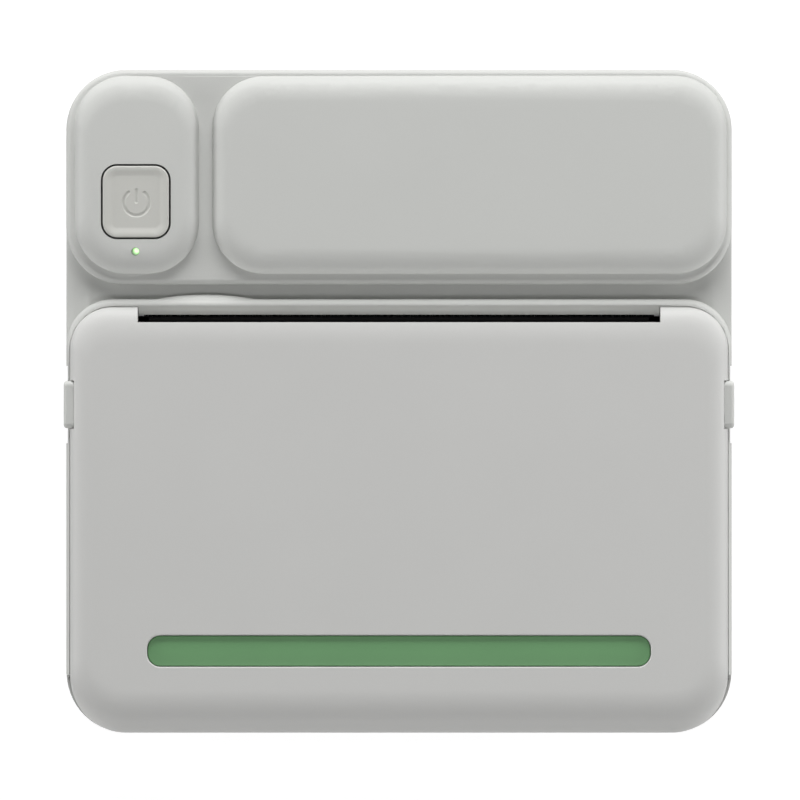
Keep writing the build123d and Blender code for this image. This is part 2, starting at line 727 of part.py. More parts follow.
def pod_section(x0, x1, z, inset):
    """Plan of a pod at height z, on the outside or drawn in by inset."""
    side = roll_draw(z, POD_TOP_Z, POD_ROLL_H, POD_ROLL_SIDE_W, inset)
    end = roll_draw(z, POD_TOP_Z, POD_ROLL_H, POD_ROLL_END_W, inset)
    return round_rect(x0 + side, x1 - side, POD_BOTTOM_Y + end, POD_TOP_Y - end, POD_CORNER_R - side)


def pods(inset):
    """The two raised pods, or the hollows inside them when drawn in by inset."""
    made = Part()
    low = POD_TOP_Z - POD_ROLL_H
    rise = POD_ROLL_H - inset
    heights = [low + rise * math.sin(math.pi / 2 * i / CROWN_STEPS) for i in range(CROWN_STEPS + 1)]
    for x0, x1 in (POD_LEFT_X, POD_RIGHT_X):
        made += prism_z(pod_section(x0, x1, low, inset), PLATE_Z - inset, low)
        made += loft([Pos(0, 0, z) * pod_section(x0, x1, z, inset) for z in heights])
    return made


def button_plan(margin):
    """Plan of the power button, grown by margin."""
    return Pos(BUTTON_X, BUTTON_Y) * RectangleRounded(
        BUTTON_W + 2 * margin, BUTTON_L + 2 * margin, BUTTON_CORNER_R + margin
    )


def button_well():
    """Collar that guides the power button."""
    return prism_z(button_plan(BUTTON_GAP + BUTTON_WELL_T), POD_TOP_Z - BUTTON_WELL_DEPTH, POD_TOP_Z - WALL)


def cover_plan(margin, top_y):
    """Plan of the cover bay: square to top_y, with its corners rounded."""
    half = COVER_HALF_W + margin
    head_r = COVER_HEAD_CORNER_R + margin
    return round_rect(-half, half, -FAR, top_y, head_r)


def cover_bay():
    """Opening that the cover closes, with a ledge along its sides."""
    slot_tongue = Pos(0, SLOT_HEAD_Y + FAR / 2) * Rectangle(2 * (SLOT_HALF_W - COVER_GAP), FAR)
    upper = cover_plan(COVER_GAP, COVER_HEAD_Y + COVER_GAP) - slot_tongue
    lower = Pos(0, SLOT_HEAD_Y - FAR / 2) * Rectangle(BODY_W - 2 * WALL, FAR)
    lower &= case_outline(WALL)
    low_z = GROOVE_FLOOR_Z - GROOVE_FLOOR_T
    bay = prism_z(upper, LEDGE_Z, POD_TOP_Z) + prism_z(lower, low_z, LEDGE_Z)
    bay += block(-HALF_W, HALF_W, -HALF_L, LIP_END_Y, LEDGE_Z, POD_TOP_Z)
    bay += block(-HINGE_BAY_HALF_W, HINGE_BAY_HALF_W, -HALF_L, LIP_END_Y, PARTING_Z, LEDGE_Z)
    return bay + slot_slope()


def slot_slope():
    """Wedge cut from the rim's crest down to the slot."""
    crest = (RIM_Y - RIM_ROLL_R, RIM_Z)
    foot = (SLOT_HEAD_Y, RIM_Z - SLOT_RIM_DROP)
    half = SLOT_HALF_W - COVER_GAP
    face = make_face(Polyline(crest, foot, (foot[0], crest[1]), close=True))
    return prism_x(face, -half, half)


def hinge_ears():
    """Two ears that hold the hinge pins."""
    made = []
    for side in (-1, 1):
        ear = block(
            side * HINGE_BAY_HALF_W, side * (HINGE_BAY_HALF_W + HINGE_EAR_T),
            HINGE_Y - HINGE_EAR_HALF_Y, HINGE_Y + HINGE_EAR_HALF_Y, PARTING_Z, HINGE_EAR_TOP,
        )
        made.append(ear)
    return made[0] + made[1]


def front_holes():
    """Button well, lamp hole, screw holes, port opening, pin holes and finger scoops."""
    cut = prism_z(button_plan(BUTTON_GAP), POD_TOP_Z - BUTTON_WELL_DEPTH, POD_TOP_Z)
    cut += rod_z(LAMP_X, LAMP_Y, LAMP_HOLE_R, POD_TOP_Z - BUTTON_WELL_DEPTH, POD_TOP_Z)
    case_hole_top = CASE_SEAT_Z + CASE_SCREW_L + SCREW_FIT
    for x, y in corner_points(CASE_SCREW_OUT):
        cut += rod_z(x, y, CASE_SCREW_R + SCREW_FIT, PARTING_Z, case_hole_top)
    for x in BOARD_SCREW_X:
        for y in BOARD_SCREW_Y:
            cut += rod_z(x, y, SMALL_SCREW_R + SCREW_FIT, BOARD_TOP, BOARD_Z + SMALL_SCREW_L)
    port_z = BOARD_TOP + PORT_H / 2
    port_plan = Pos(BOARD_MID_Y, port_z) * RectangleRounded(
        PORT_W + 2 * PORT_GAP, PORT_H + 2 * PORT_GAP, PORT_H / 2 + PORT_GAP - SCREW_FIT
    )
    cut += prism_x(port_plan, -HALF_W, -HALF_W + WALL)
    cut += rod_x(HINGE_Y, HINGE_Z, HINGE_PIN_R, -HALF_W, HALF_W) & block(
        -HINGE_BAY_HALF_W - HINGE_EAR_T, HINGE_BAY_HALF_W + HINGE_EAR_T, -HALF_L, 0, PARTING_Z, HINGE_EAR_TOP
    )
    for side in (-1, 1):
        cut += block(
            side * (HALF_W - SCOOP_DEPTH), side * HALF_W,
            TAB_CENTRE_Y - SCOOP_HALF_Y, TAB_CENTRE_Y + SCOOP_HALF_Y, SCOOP_Z, RIM_Z,
        )
        cut += block(side * LIP_X, side * HALF_W, TAB_Y[0] - TAB_GAP, TAB_Y[1] + TAB_GAP, LEDGE_Z, RIM_Z)
    return cut


# Roll cover


def cover_section(z, inset):
    """Plan of the cover at height z, on the outside or drawn in by inset."""
    side = roll_draw(z, FACE_Z, ROLL_EDGE_H, ROLL_SIDE_W, inset)
    half = COVER_HALF_W - side
    y0 = -HALF_L + roll_draw(z, FACE_Z, ROLL_HINGE_H, ROLL_HINGE_W, inset)
    y1 = COVER_HEAD_Y - roll_draw(z, FACE_Z, ROLL_EDGE_H, ROLL_HEAD_W, inset)
    plan = Pos(0, (y0 + y1) / 2) * Rectangle(2 * half, y1 - y0)
    plan = fillet(plan.vertices().group_by(Axis.Y)[0], COVER_HINGE_CORNER_R - side)
    plan = fillet(plan.vertices().group_by(Axis.Y)[-1], COVER_HEAD_CORNER_R - side)
    return Pos(0, 0, z) * plan


def cover_crown(inset):
    """Crowned block of the cover, from its hinge up to the face."""
    low = FACE_Z - ROLL_HINGE_H
    high = FACE_Z - ROLL_EDGE_H
    rise = ROLL_EDGE_H - inset
    turns = [math.pi / 2 * i / CROWN_STEPS for i in range(CROWN_STEPS + 1)]
    step = (high - low) / CROWN_LOW_STEPS
    lower = [cover_section(low + step * i, inset) for i in range(CROWN_LOW_STEPS + 1)]
    upper = [cover_section(high + rise * math.sin(turn), inset) for turn in turns]
    return loft(lower) + loft(upper) + extrude(lower[0], amount=HINGE_Z - low, dir=(0, 0, 1))


def strip_plan(margin):
    """Plan of the green strip, grown by margin."""
    return Pos(0, STRIP_CENTRE_Y) * RectangleRounded(
        STRIP_W + 2 * margin, STRIP_L + 2 * margin, STRIP_CORNER_R + margin
    )


def make_roll_cover():
    """Curved cover with its skirt, hinge barrel, slot notch and inner bosses."""
    grown = SLOT_HALF_W + COVER_T
    notch = block(-SLOT_HALF_W, SLOT_HALF_W, SLOT_COVER_Y, FAR, 0, FAR)
    wall = block(-grown, grown, SLOT_COVER_Y - COVER_T, FAR, 0, FAR)
    cover = (cover_crown(0.0) - notch) - (cover_crown(COVER_T) - wall)
    skirt = block(-SKIRT_HALF_W, SKIRT_HALF_W, -HALF_L, HINGE_Y, HINGE_Z, COVER_SKIRT_Z)
    cover -= block(-FAR, FAR, -FAR, FAR, 0, COVER_SKIRT_Z) - skirt
    cover += rod_x(HINGE_Y, HINGE_Z, HINGE_BARREL_R, -SKIRT_HALF_W, SKIRT_HALF_W)
    bore = SKIRT_HALF_W - HINGE_CHEEK_T
    cover -= rod_x(HINGE_Y, HINGE_Z, HINGE_BARREL_BORE_R, -bore, bore)
    cover -= rod_x(HINGE_Y, HINGE_Z, HINGE_PIN_R + HINGE_PIN_FIT, -SKIRT_HALF_W, SKIRT_HALF_W)
    cover += prism_z(strip_plan(STRIP_BACKING_MARGIN), STRIP_Z - STRIP_BACKING_T, COVER_INNER_Z + STRIP_T / 2)
    cover -= prism_z(strip_plan(STRIP_GAP), STRIP_Z, FAR)
    for x in CARRIER_SCREW_X:
        cover += rod_z(x, CARRIER_MID_Y, CARRIER_BOSS_R, CARRIER_Z + CARRIER_T, COVER_INNER_Z + SCREW_FIT)
        cover -= rod_z(x, CARRIER_MID_Y, SMALL_SCREW_R + SCREW_FIT, CARRIER_Z, CARRIER_Z + CARRIER_SCREW_L)
    for side in (-1, 1):
        cover += tab_seat(side)
        cover -= tab_window(side)
    return cover


def tab_seat(side):
    """Two rails beside a release tab and the post behind its spring."""
    seat = block(
        side * (TAB_SLIDER_X - TAB_SPRING_L), side * (TAB_SLIDER_X - TAB_SPRING_L - TAB_POST_T),
        TAB_CENTRE_Y - TAB_LEG_HALF_Y, TAB_CENTRE_Y + TAB_LEG_HALF_Y, TAB_WING_Z[0], COVER_INNER_Z,
    )
    inner = TAB_SLIDER_HALF_Y + TAB_RAIL_GAP
    for end in (-1, 1):
        seat += block(
            side * TAB_RAIL_X[0], side * TAB_RAIL_X[1],
            TAB_CENTRE_Y + end * inner, TAB_CENTRE_Y + end * (inner + TAB_RAIL_T),
            TAB_SLIDER_Z[0], COVER_INNER_Z,
        )
    return seat


def tab_window(side):
    """Opening in the cover's side for a release tab."""
    inner = TAB_OUT - TAB_BLOCK_L - TAB_TRAVEL - TAB_WING_GAP
    return block(
        side * inner, side * FAR, TAB_Y[0] - TAB_GAP, TAB_Y[1] + TAB_GAP,
        TAB_Z[0] - TAB_GAP, TAB_Z[1] + TAB_GAP,
    )


def make_accent_strip():
    """Green strip that lies sunk in the cover."""
    return prism_z(strip_plan(0.0), STRIP_Z, STRIP_Z + STRIP_T)


def make_hinge_pins():
    """Two pins through the housing's ears into the cover's cheeks."""
    outer = HINGE_BAY_HALF_W + HINGE_EAR_T
    inner = SKIRT_HALF_W - HINGE_CHEEK_T
    return [rod_x(HINGE_Y, HINGE_Z, HINGE_PIN_R, side * inner, side * outer) for side in (-1, 1)]


# Release tabs


def make_release_tab(side):
    """Finger tab with its wings, slider and leg; it slides inward through the cover's side."""
    plan = round_rect(TAB_Y[0], TAB_Y[1], TAB_Z[0], TAB_Z[1], TAB_CORNER_R)
    tab = prism_x(plan, TAB_OUT - TAB_BLOCK_L, TAB_OUT)
    tab = fillet(tab.edges().group_by(Axis.X)[-1], TAB_FACE_R)
    wing_x = COVER_HALF_W - COVER_T - TAB_WING_GAP
    wing_y = (TAB_Y[0] - TAB_WING, TAB_Y[1] + TAB_WING)
    tab += block(wing_x - TAB_WING_T, wing_x, wing_y[0], wing_y[1], TAB_WING_Z[0], TAB_WING_Z[1])
    y0 = TAB_CENTRE_Y - TAB_SLIDER_HALF_Y
    y1 = TAB_CENTRE_Y + TAB_SLIDER_HALF_Y
    tab += block(TAB_SLIDER_X, wing_x, y0, y1, TAB_SLIDER_Z[0], TAB_SLIDER_Z[1])
    leg_y = (TAB_CENTRE_Y - TAB_LEG_HALF_Y, TAB_CENTRE_Y + TAB_LEG_HALF_Y)
    tab += block(TAB_LEG_X[0], TAB_LEG_X[1], leg_y[0], leg_y[1], TAB_LEG_Z, TAB_SLIDER_Z[1])
    return tab if side > 0 else mirror(tab, about=Plane.YZ)


def make_tab_spring(side):
    """Coil spring that pushes a release tab out."""
    z = (TAB_SLIDER_Z[0] + TAB_SLIDER_Z[1]) / 2
    spring = coil_spring(TAB_SPRING_R, SPRING_WIRE_R, TAB_SPRING_L, TAB_SPRING_TURNS)
    spring = Pos(TAB_SLIDER_X - TAB_SPRING_L, TAB_CENTRE_Y, z) * Rot(0, 90, 0) * spring
    return spring if side > 0 else mirror(spring, about=Plane.YZ)


# Paper bay and its guides


def trough_plan(r, top):
    """Round-bottomed section of the paper bay, in (Y, Z)."""
    box = Pos(ROLL_Y, (ROLL_Z + top) / 2) * Rectangle(2 * r, top - ROLL_Z)
    below = Pos(0, -r / 2) * Rectangle(2 * r, r)
    return Pos(ROLL_Y, ROLL_Z) * (Circle(r) & below) + box


def ramp_section():
    """Section of the ramp from the bay to the nip, in (Y, Z)."""
    r_top = PLATEN_R + RAMP_GAP
    turn = math.radians(RAMP_END_DROP)
    ring = Pos(PLATEN_Y, PLATEN_Z) * (Circle(r_top + LINER_T) - Circle(r_top))
    wedge = make_face(Polyline(
        (PLATEN_Y, PLATEN_Z),
        (PLATEN_Y, PLATEN_Z - 2 * r_top),
        (PLATEN_Y + 2 * r_top * math.tan(turn), PLATEN_Z - 2 * r_top),
        close=True,
    ))
    flat_y = ROLL_Y + LINER_R
    flat = Pos((flat_y + PLATEN_Y) / 2, RAMP_Z - LINER_T / 2) * Rectangle(PLATEN_Y - flat_y, LINER_T)
    return (ring & wedge) + flat


def make_roll_bay():
    """Liner with a round trough, end walls, the ramp and the tracks under it."""
    trough = trough_plan(LINER_R, LINER_WALL_TOP) - trough_plan(BAY_R, FAR)
    trough -= Pos(ROLL_Y + LINER_R, RAMP_Z + FAR / 2) * Rectangle(LINER_R, FAR)
    bay = prism_x(trough, -LINER_HALF_W, LINER_HALF_W)
    bay += prism_x(ramp_section(), -LINER_HALF_W, LINER_HALF_W)
    for side in (-1, 1):
        bay += prism_x(trough_plan(LINER_R, LINER_END_TOP), side * BAY_HALF_W, side * LINER_HALF_W)
        bay += block(
            side * BAY_HALF_W, side * (LINER_HALF_W + BAY_TAB_OUT),
            ROLL_Y - BAY_TAB_W / 2, ROLL_Y + BAY_TAB_W / 2,
            BAY_TAB_Z, BAY_TAB_Z + BAY_TAB_T,
        )
        bay -= block(
            side * (GUIDE_X - GUIDE_TRAVEL - GUIDE_SLOT_GAP), side * BAY_HALF_W,
            GUIDE_SLOT_Y[0], GUIDE_SLOT_Y[1], RAMP_Z - LINER_T, RAMP_Z,
        )
    for x, y, top in bay_posts():
        bay -= rod_z(x, y, SMALL_SCREW_R + FOOT_GAP, top, top + BAY_TAB_T)
    under = RAMP_Z - LINER_T
    for y0, y1 in rack_rib_spans():
        bay += block(-GUIDE_X + GUIDE_HUB_L, GUIDE_X - GUIDE_HUB_L, y0, y1, RACK_TOP - RACK_H, under)
    bay += rod_z(0, GUIDE_PINION_Y, PINION_COLLAR_R, under - PINION_COLLAR_H, under)
    bay += rod_z(0, GUIDE_PINION_Y, PINION_POST_R, under - PINION_COLLAR_H - GUIDE_PINION_H - POST_END, under)
    return bay - block(
        -SENSOR_W / 2, SENSOR_W / 2, SENSOR_Y - SENSOR_L / 2, SENSOR_Y + SENSOR_L / 2, under, RAMP_Z
    )


def rack_rib_spans():
    """Y spans of the two ribs outside the racks."""
    back = RACK_PITCH_R + DEDENDUM * RACK_MODULE + RACK_T + RACK_RIB_GAP
    low = GUIDE_PINION_Y - back
    high = GUIDE_PINION_Y + back
    return [(low - RACK_RIB_T, low), (high, high + RACK_RIB_T)]


def make_guide(side):
    """Paper guide: a disc with a hub, a neck through the ramp's slot and a rack below."""
    disc = Circle(GUIDE_R) & Pos(0, GUIDE_TOP - ROLL_Z - FAR / 2) * Rectangle(FAR, FAR)
    guide = prism_x(Pos(ROLL_Y, ROLL_Z) * disc, GUIDE_X, GUIDE_X + GUIDE_T)
    guide += rod_x(ROLL_Y, ROLL_Z, GUIDE_HUB_R, GUIDE_X - GUIDE_HUB_L, GUIDE_X)
    arm_z = RAMP_Z + GUIDE_SLOT_GAP
    neck_y = (GUIDE_SLOT_Y[0] + GUIDE_SLOT_GAP, GUIDE_SLOT_Y[1] - GUIDE_SLOT_GAP)
    guide += block(GUIDE_X, GUIDE_X + GUIDE_T, ROLL_Y + GUIDE_R / 2, neck_y[1], arm_z, GUIDE_ARM_TOP)
    guide += block(GUIDE_X, GUIDE_X + GUIDE_T, neck_y[0], neck_y[1], RACK_TOP, arm_z)
    rack = rack_face(-RACK_OVERRUN, GUIDE_X + GUIDE_T, 0.0, RACK_MODULE, RACK_T)
    rack = prism_z(rack, RACK_TOP - RACK_H, RACK_TOP)
    foot_y = RACK_PITCH_R + DEDENDUM * RACK_MODULE + RACK_T
    if side > 0:
        rack = mirror(rack, about=Plane.XZ)
        rack = Pos(0, GUIDE_PINION_Y + RACK_PITCH_R, 0) * rack
        foot = (neck_y[0] + GUIDE_CLEAR, GUIDE_PINION_Y + foot_y)
        guide += block(GUIDE_X, GUIDE_X + GUIDE_T, foot[0], foot[1], RACK_TOP - RACK_H, RACK_TOP)
        return guide + rack
    rack = Pos(0, GUIDE_PINION_Y - RACK_PITCH_R, 0) * rack
    foot = (GUIDE_PINION_Y - foot_y, neck_y[1])
    guide += block(GUIDE_X, GUIDE_X + GUIDE_T, foot[0], foot[1], RACK_TOP - RACK_H, RACK_TOP)
    return mirror(guide + rack, about=Plane.YZ)


def make_guide_pinion():
    """Pinion that keeps the two guides centred."""
    face = gear_face(GUIDE_PINION_TEETH, RACK_MODULE, 90.0, PINION_POST_R + SHAFT_FIT)
    top = RAMP_Z - LINER_T - PINION_COLLAR_H
    return prism_z(Pos(0, GUIDE_PINION_Y) * face, top - GUIDE_PINION_H, top)


def make_paper_sensor():
    """Reflective sensor set flush in the ramp."""
    half_w = SENSOR_W / 2
    half_l = SENSOR_L / 2
    return block(-half_w, half_w, SENSOR_Y - half_l, SENSOR_Y + half_l, RAMP_Z - SENSOR_H, RAMP_Z)


def make_bay_screws():
    """Two screws through the side tabs of the paper bay."""
    one = Rot(180, 0, 0) * small_screw()
    return [Pos(x, y, top + BAY_TAB_T) * one for x, y, top in bay_posts()]


# Platen and its carrier


def make_platen_carrier():
    """Channel under the cover with two arms that hold the platen's bushings."""
    y0, y1 = CARRIER_Y
    arm_out = ARM_X + ARM_T
    carrier = block(-arm_out, arm_out, y0, y1, CARRIER_Z, CARRIER_Z + CARRIER_T)
    for a, b in ((y0, y0 + CARRIER_FLANGE_T), (y1 - CARRIER_FLANGE_T, y1)):
        carrier += block(-PLATEN_HALF_W, PLATEN_HALF_W, a, b, CARRIER_Z - CARRIER_FLANGE_H, CARRIER_Z)
    for side in (-1, 1):
        x0 = side * ARM_X
        x1 = side * arm_out
        carrier += block(x0, x1, y0, y1, PLATEN_Z, CARRIER_Z)
        carrier += rod_x(PLATEN_Y, PLATEN_Z, ARM_HALF_Y, x0, x1)
        carrier -= rod_x(PLATEN_Y, PLATEN_Z, BUSHING_R, x0, x1)
    for x in CARRIER_SCREW_X:
        carrier -= rod_z(x, CARRIER_MID_Y, SMALL_SCREW_R + FOOT_GAP, CARRIER_Z, CARRIER_Z + CARRIER_T)
    return carrier


def make_carrier_screws():
    """Screws that hold the carrier under the cover."""
    one = screw(SMALL_SCREW_R, SMALL_HEAD_R, SMALL_HEAD_H, CARRIER_SCREW_L)
    return [Pos(x, CARRIER_MID_Y, CARRIER_Z) * one for x in CARRIER_SCREW_X]


def make_platen_bushings():
    """Two bushings held in the carrier's arms, resting in the frame's notches."""
    made = []
    for side in (-1, 1):
        ring = rod_x(PLATEN_Y, PLATEN_Z, BUSHING_R, side * ARM_X, side * (FRAME_X + FRAME_T))
        made.append(ring - rod_x(PLATEN_Y, PLATEN_Z, SHAFT_R + SHAFT_FIT, side * ARM_X, side * HALF_W))
    return made


def make_platen_shaft():
    """Steel shaft through the platen, longer at its gear end."""
    return rod_x(PLATEN_Y, PLATEN_Z, SHAFT_R, -FRAME_X - FRAME_T - SHAFT_END, GEAR_X[1] + SHAFT_TIP)


def make_platen_rubber():
    """Rubber roller on the shaft."""
    roller = rod_x(PLATEN_Y, PLATEN_Z, PLATEN_R, -PLATEN_HALF_W, PLATEN_HALF_W)
    return roller - rod_x(PLATEN_Y, PLATEN_Z, SHAFT_R, -PLATEN_HALF_W, PLATEN_HALF_W)


def make_platen_gear():
    """Gear at the end of the platen shaft."""
    face = gear_face(PLATEN_TEETH, MODULE, IDLER_ANGLE + 180.0 / PLATEN_TEETH, SHAFT_R)
    return prism_x(Pos(PLATEN_Y, PLATEN_Z) * face, *GEAR_X)


# Gear train and motor


def make_idler_gear():
    """Compound idler: a small gear under the platen's and a big one for the motor."""
    bore = AXLE_R + SHAFT_FIT
    small = gear_face(IDLER_SMALL_TEETH, MODULE, IDLER_ANGLE + 180.0, bore)
    big = gear_face(IDLER_BIG_TEETH, MODULE, MOTOR_ANGLE, bore)
    idler = prism_x(Pos(IDLER_Y, IDLER_Z) * small, *GEAR_X)
    idler += prism_x(Pos(IDLER_Y, IDLER_Z) * (Circle(IDLER_HUB_R) - Circle(bore)), GEAR_X[1], BIG_GEAR_X[0])
    return idler + prism_x(Pos(IDLER_Y, IDLER_Z) * big, *BIG_GEAR_X)


def make_idler_axle():
    """Headed pin riveted in the frame, which carries the idler."""
    axle = rod_x(IDLER_Y, IDLER_Z, AXLE_R, FRAME_X, BIG_GEAR_X[1] + AXLE_END)
    return axle + rod_x(IDLER_Y, IDLER_Z, IDLER_HUB_R, FRAME_X + FRAME_T, GEAR_X[0] - AXLE_END)


def make_motor_pinion():
    """Pinion pressed on the motor's shaft."""
    face = gear_face(MOTOR_TEETH, MODULE, MOTOR_ANGLE + 180.0 + 180.0 / MOTOR_TEETH, MOTOR_SHAFT_R)
    return prism_x(Pos(MOTOR_Y, MOTOR_Z) * face, *BIG_GEAR_X)


def make_motor_shaft():
    """Shaft of the motor."""
    return rod_x(MOTOR_Y, MOTOR_Z, MOTOR_SHAFT_R, FRAME_X - MOTOR_SHAFT_DEPTH, BIG_GEAR_X[1])


def motor_screw_points():
    """Y of the two motor screws."""
    return [MOTOR_Y - MOTOR_EAR_OUT, MOTOR_Y + MOTOR_EAR_OUT]


def make_stepper_motor():
    """Round motor can with a boss and two ears."""
    motor = rod_x(MOTOR_Y, MOTOR_Z, MOTOR_R, FRAME_X - MOTOR_L, FRAME_X)
    motor += rod_x(MOTOR_Y, MOTOR_Z, MOTOR_BOSS_R, FRAME_X, FRAME_X + FRAME_T)
    half = MOTOR_EAR_W / 2
    motor += block(
        FRAME_X - MOTOR_EAR_T, FRAME_X, MOTOR_Y - MOTOR_EAR_OUT, MOTOR_Y + MOTOR_EAR_OUT,
        MOTOR_Z - half, MOTOR_Z + half,
    )
    for y in motor_screw_points():
        motor += rod_x(y, MOTOR_Z, half, FRAME_X - MOTOR_EAR_T, FRAME_X)
        motor -= rod_x(y, MOTOR_Z, SMALL_SCREW_R + SCREW_FIT, FRAME_X - MOTOR_EAR_T, FRAME_X)
    return motor - rod_x(
        MOTOR_Y, MOTOR_Z, MOTOR_SHAFT_R + SHAFT_FIT, FRAME_X - MOTOR_SHAFT_DEPTH, FRAME_X + FRAME_T
    )


def make_motor_screws():
    """Two screws from the frame into the motor's ears."""
    made = []
    outer = FRAME_X + FRAME_T
    for y in motor_screw_points():
        shank = rod_x(y, MOTOR_Z, SMALL_SCREW_R, FRAME_X - MOTOR_EAR_T, outer)
        made.append(shank + rod_x(y, MOTOR_Z, SMALL_HEAD_R, outer, outer + SMALL_HEAD_H))
    return made


# Mechanism frame and print head


def make_mechanism_frame():
    """Bent steel frame: two side plates with notches, a crossbar, four feet and spring pegs."""
    frame = block(-FRAME_X, FRAME_X, CROSSBAR_Y[0], CROSSBAR_Y[1], CROSSBAR_Z[0], CROSSBAR_Z[1])
    for side in (-1, 1):
        x0 = side * FRAME_X
        x1 = side * (FRAME_X + FRAME_T)
        frame += block(x0, x1, FRAME_Y[0], FRAME_Y[1], FRAME_FOOT_Z, UPRIGHT_FOOT_TOP)
        frame += block(x0, x1, UPRIGHT_Y, CROSSBAR_Y[1], FRAME_FOOT_Z, FRAME_TOP)
        if side > 0:
            frame += block(x0, x1, MOTOR_PLATE_Y[0], MOTOR_PLATE_Y[1], MOTOR_PLATE_BOTTOM, UPRIGHT_FOOT_TOP)
        notch_r = BUSHING_R + NOTCH_FIT
        frame -= rod_x(PLATEN_Y, PLATEN_Z, notch_r, x0, x1)
        frame -= block(x0, x1, PLATEN_Y - notch_r - NOTCH_FLARE, PLATEN_Y + notch_r, PLATEN_Z, FRAME_TOP)
        frame -= rod_x(HEAD_PIVOT_Y, HEAD_PIVOT_Z, HEAD_PIVOT_R, x0, x1)
        peg_y = CROSSBAR_Y[0] - HEAD_PEG_L
        frame += rod_y(side * HEAD_SPRING_X, HEAD_SPRING_Z, HEAD_PEG_R, peg_y, CROSSBAR_Y[0])
    for x, y, top in frame_posts():
        inner = FRAME_X * math.copysign(1, x)
        outer = x + math.copysign(FRAME_FOOT_OUT / 2, x)
        half = FRAME_FOOT_L / 2
        frame += block(inner, outer, y - half, y + half, top, top + FRAME_FOOT_T)
        frame -= rod_z(x, y, SMALL_SCREW_R + FOOT_GAP, top, top + FRAME_FOOT_T)
    right = (FRAME_X, FRAME_X + FRAME_T)
    frame -= rod_x(IDLER_Y, IDLER_Z, AXLE_R, *right)
    frame -= rod_x(MOTOR_Y, MOTOR_Z, MOTOR_BOSS_R + NOTCH_FIT, *right)
    for y in motor_screw_points():
        frame -= rod_x(y, MOTOR_Z, SMALL_SCREW_R + SCREW_FIT, *right)
    return frame


def make_frame_screws():
    """Four screws through the frame's feet."""
    one = Rot(180, 0, 0) * small_screw()
    return [Pos(x, y, top + FRAME_FOOT_T) * one for x, y, top in frame_posts()]


def make_printhead_ceramic():
    """Thin ceramic strip that heats the paper."""
    return block(-CERAMIC_HALF_W, CERAMIC_HALF_W, NIP_Y, NIP_Y + CERAMIC_T, CERAMIC_Z[0], CERAMIC_Z[1])


def make_printhead_heatsink():
    """Aluminium bar behind the ceramic, with its pivot lug along the bottom."""
    sink = block(-SINK_HALF_W, SINK_HALF_W, SINK_Y, SINK_BACK_Y, SINK_Z[0], SINK_Z[1])
    sink += block(-SINK_HALF_W, SINK_HALF_W, SINK_Y, SINK_Y + SINK_LUG_Y, SINK_Z[0], SINK_LUG_TOP)
    return sink - rod_x(HEAD_PIVOT_Y, HEAD_PIVOT_Z, HEAD_PIVOT_R + SHAFT_FIT, -SINK_HALF_W, SINK_HALF_W)


def make_head_pivot_pin():
    """Rod on which the print head tilts."""
    outer = FRAME_X + FRAME_T + AXLE_END
    return rod_x(HEAD_PIVOT_Y, HEAD_PIVOT_Z, HEAD_PIVOT_R, -outer, outer)


def make_head_springs():
    """Two springs that press the print head against the platen."""
    length = CROSSBAR_Y[0] - SINK_BACK_Y
    one = Rot(-90, 0, 0) * coil_spring(HEAD_SPRING_R, SPRING_WIRE_R, length, HEAD_SPRING_TURNS)
    return [Pos(side * HEAD_SPRING_X, SINK_BACK_Y, HEAD_SPRING_Z) * one for side in (-1, 1)]


def make_tear_bar():
    """Serrated bar on the head side of the slot."""
    count = int(2 * TEAR_HALF_W / TEAR_PITCH)
    left = -count * TEAR_PITCH / 2
    points = [(left, LOW_Z), (left, TEAR_TOP - TEAR_TOOTH_H)]
    for i in range(count):
        x = left + i * TEAR_PITCH
        points.append((x + TEAR_PITCH / 2, TEAR_TOP))
        points.append((x + TEAR_PITCH, TEAR_TOP - TEAR_TOOTH_H))
    points.append((-left, LOW_Z))
    face = Plane.XZ.offset(-SLOT_HEAD_Y) * make_face(Polyline(*points, close=True))
    return extrude(face, amount=TEAR_T, dir=(0, -1, 0))


def make_head_ribbon():
    """Flat cable from the board's socket down under the crossbar to the print head."""
    down = (RIBBON_Y, BOARD_Z - SOCKET_H)
    low = CROSSBAR_Z[0] - RIBBON_UNDER
    line = FilletPolyline(
        down, (RIBBON_Y, low), (HEAD_PIVOT_Y, low), (HEAD_PIVOT_Y, SINK_Z[0] - RIBBON_T), radius=RIBBON_BEND_R
    )
    face = trace(line, line_width=RIBBON_T)
    return prism_x(face, -RIBBON_W / 2, RIBBON_W / 2)


# Power button, lamp and electronics


def power_mark():
    """Ring open at the top with a short bar: the usual on and off mark."""
    ring = Circle(MARK_R + MARK_STROKE / 2) - Circle(MARK_R - MARK_STROKE / 2)
    reach = 2 * MARK_R
    spread = reach * math.tan(math.radians(MARK_OPEN))
    ring -= make_face(Polyline((0, 0), (spread, reach), (-spread, reach), close=True))
    bar = Pos(0, MARK_BAR_L / 2) * RectangleRounded(MARK_STROKE, MARK_BAR_L, MARK_END_R)
    return Pos(BUTTON_X, BUTTON_Y) * (ring + bar)


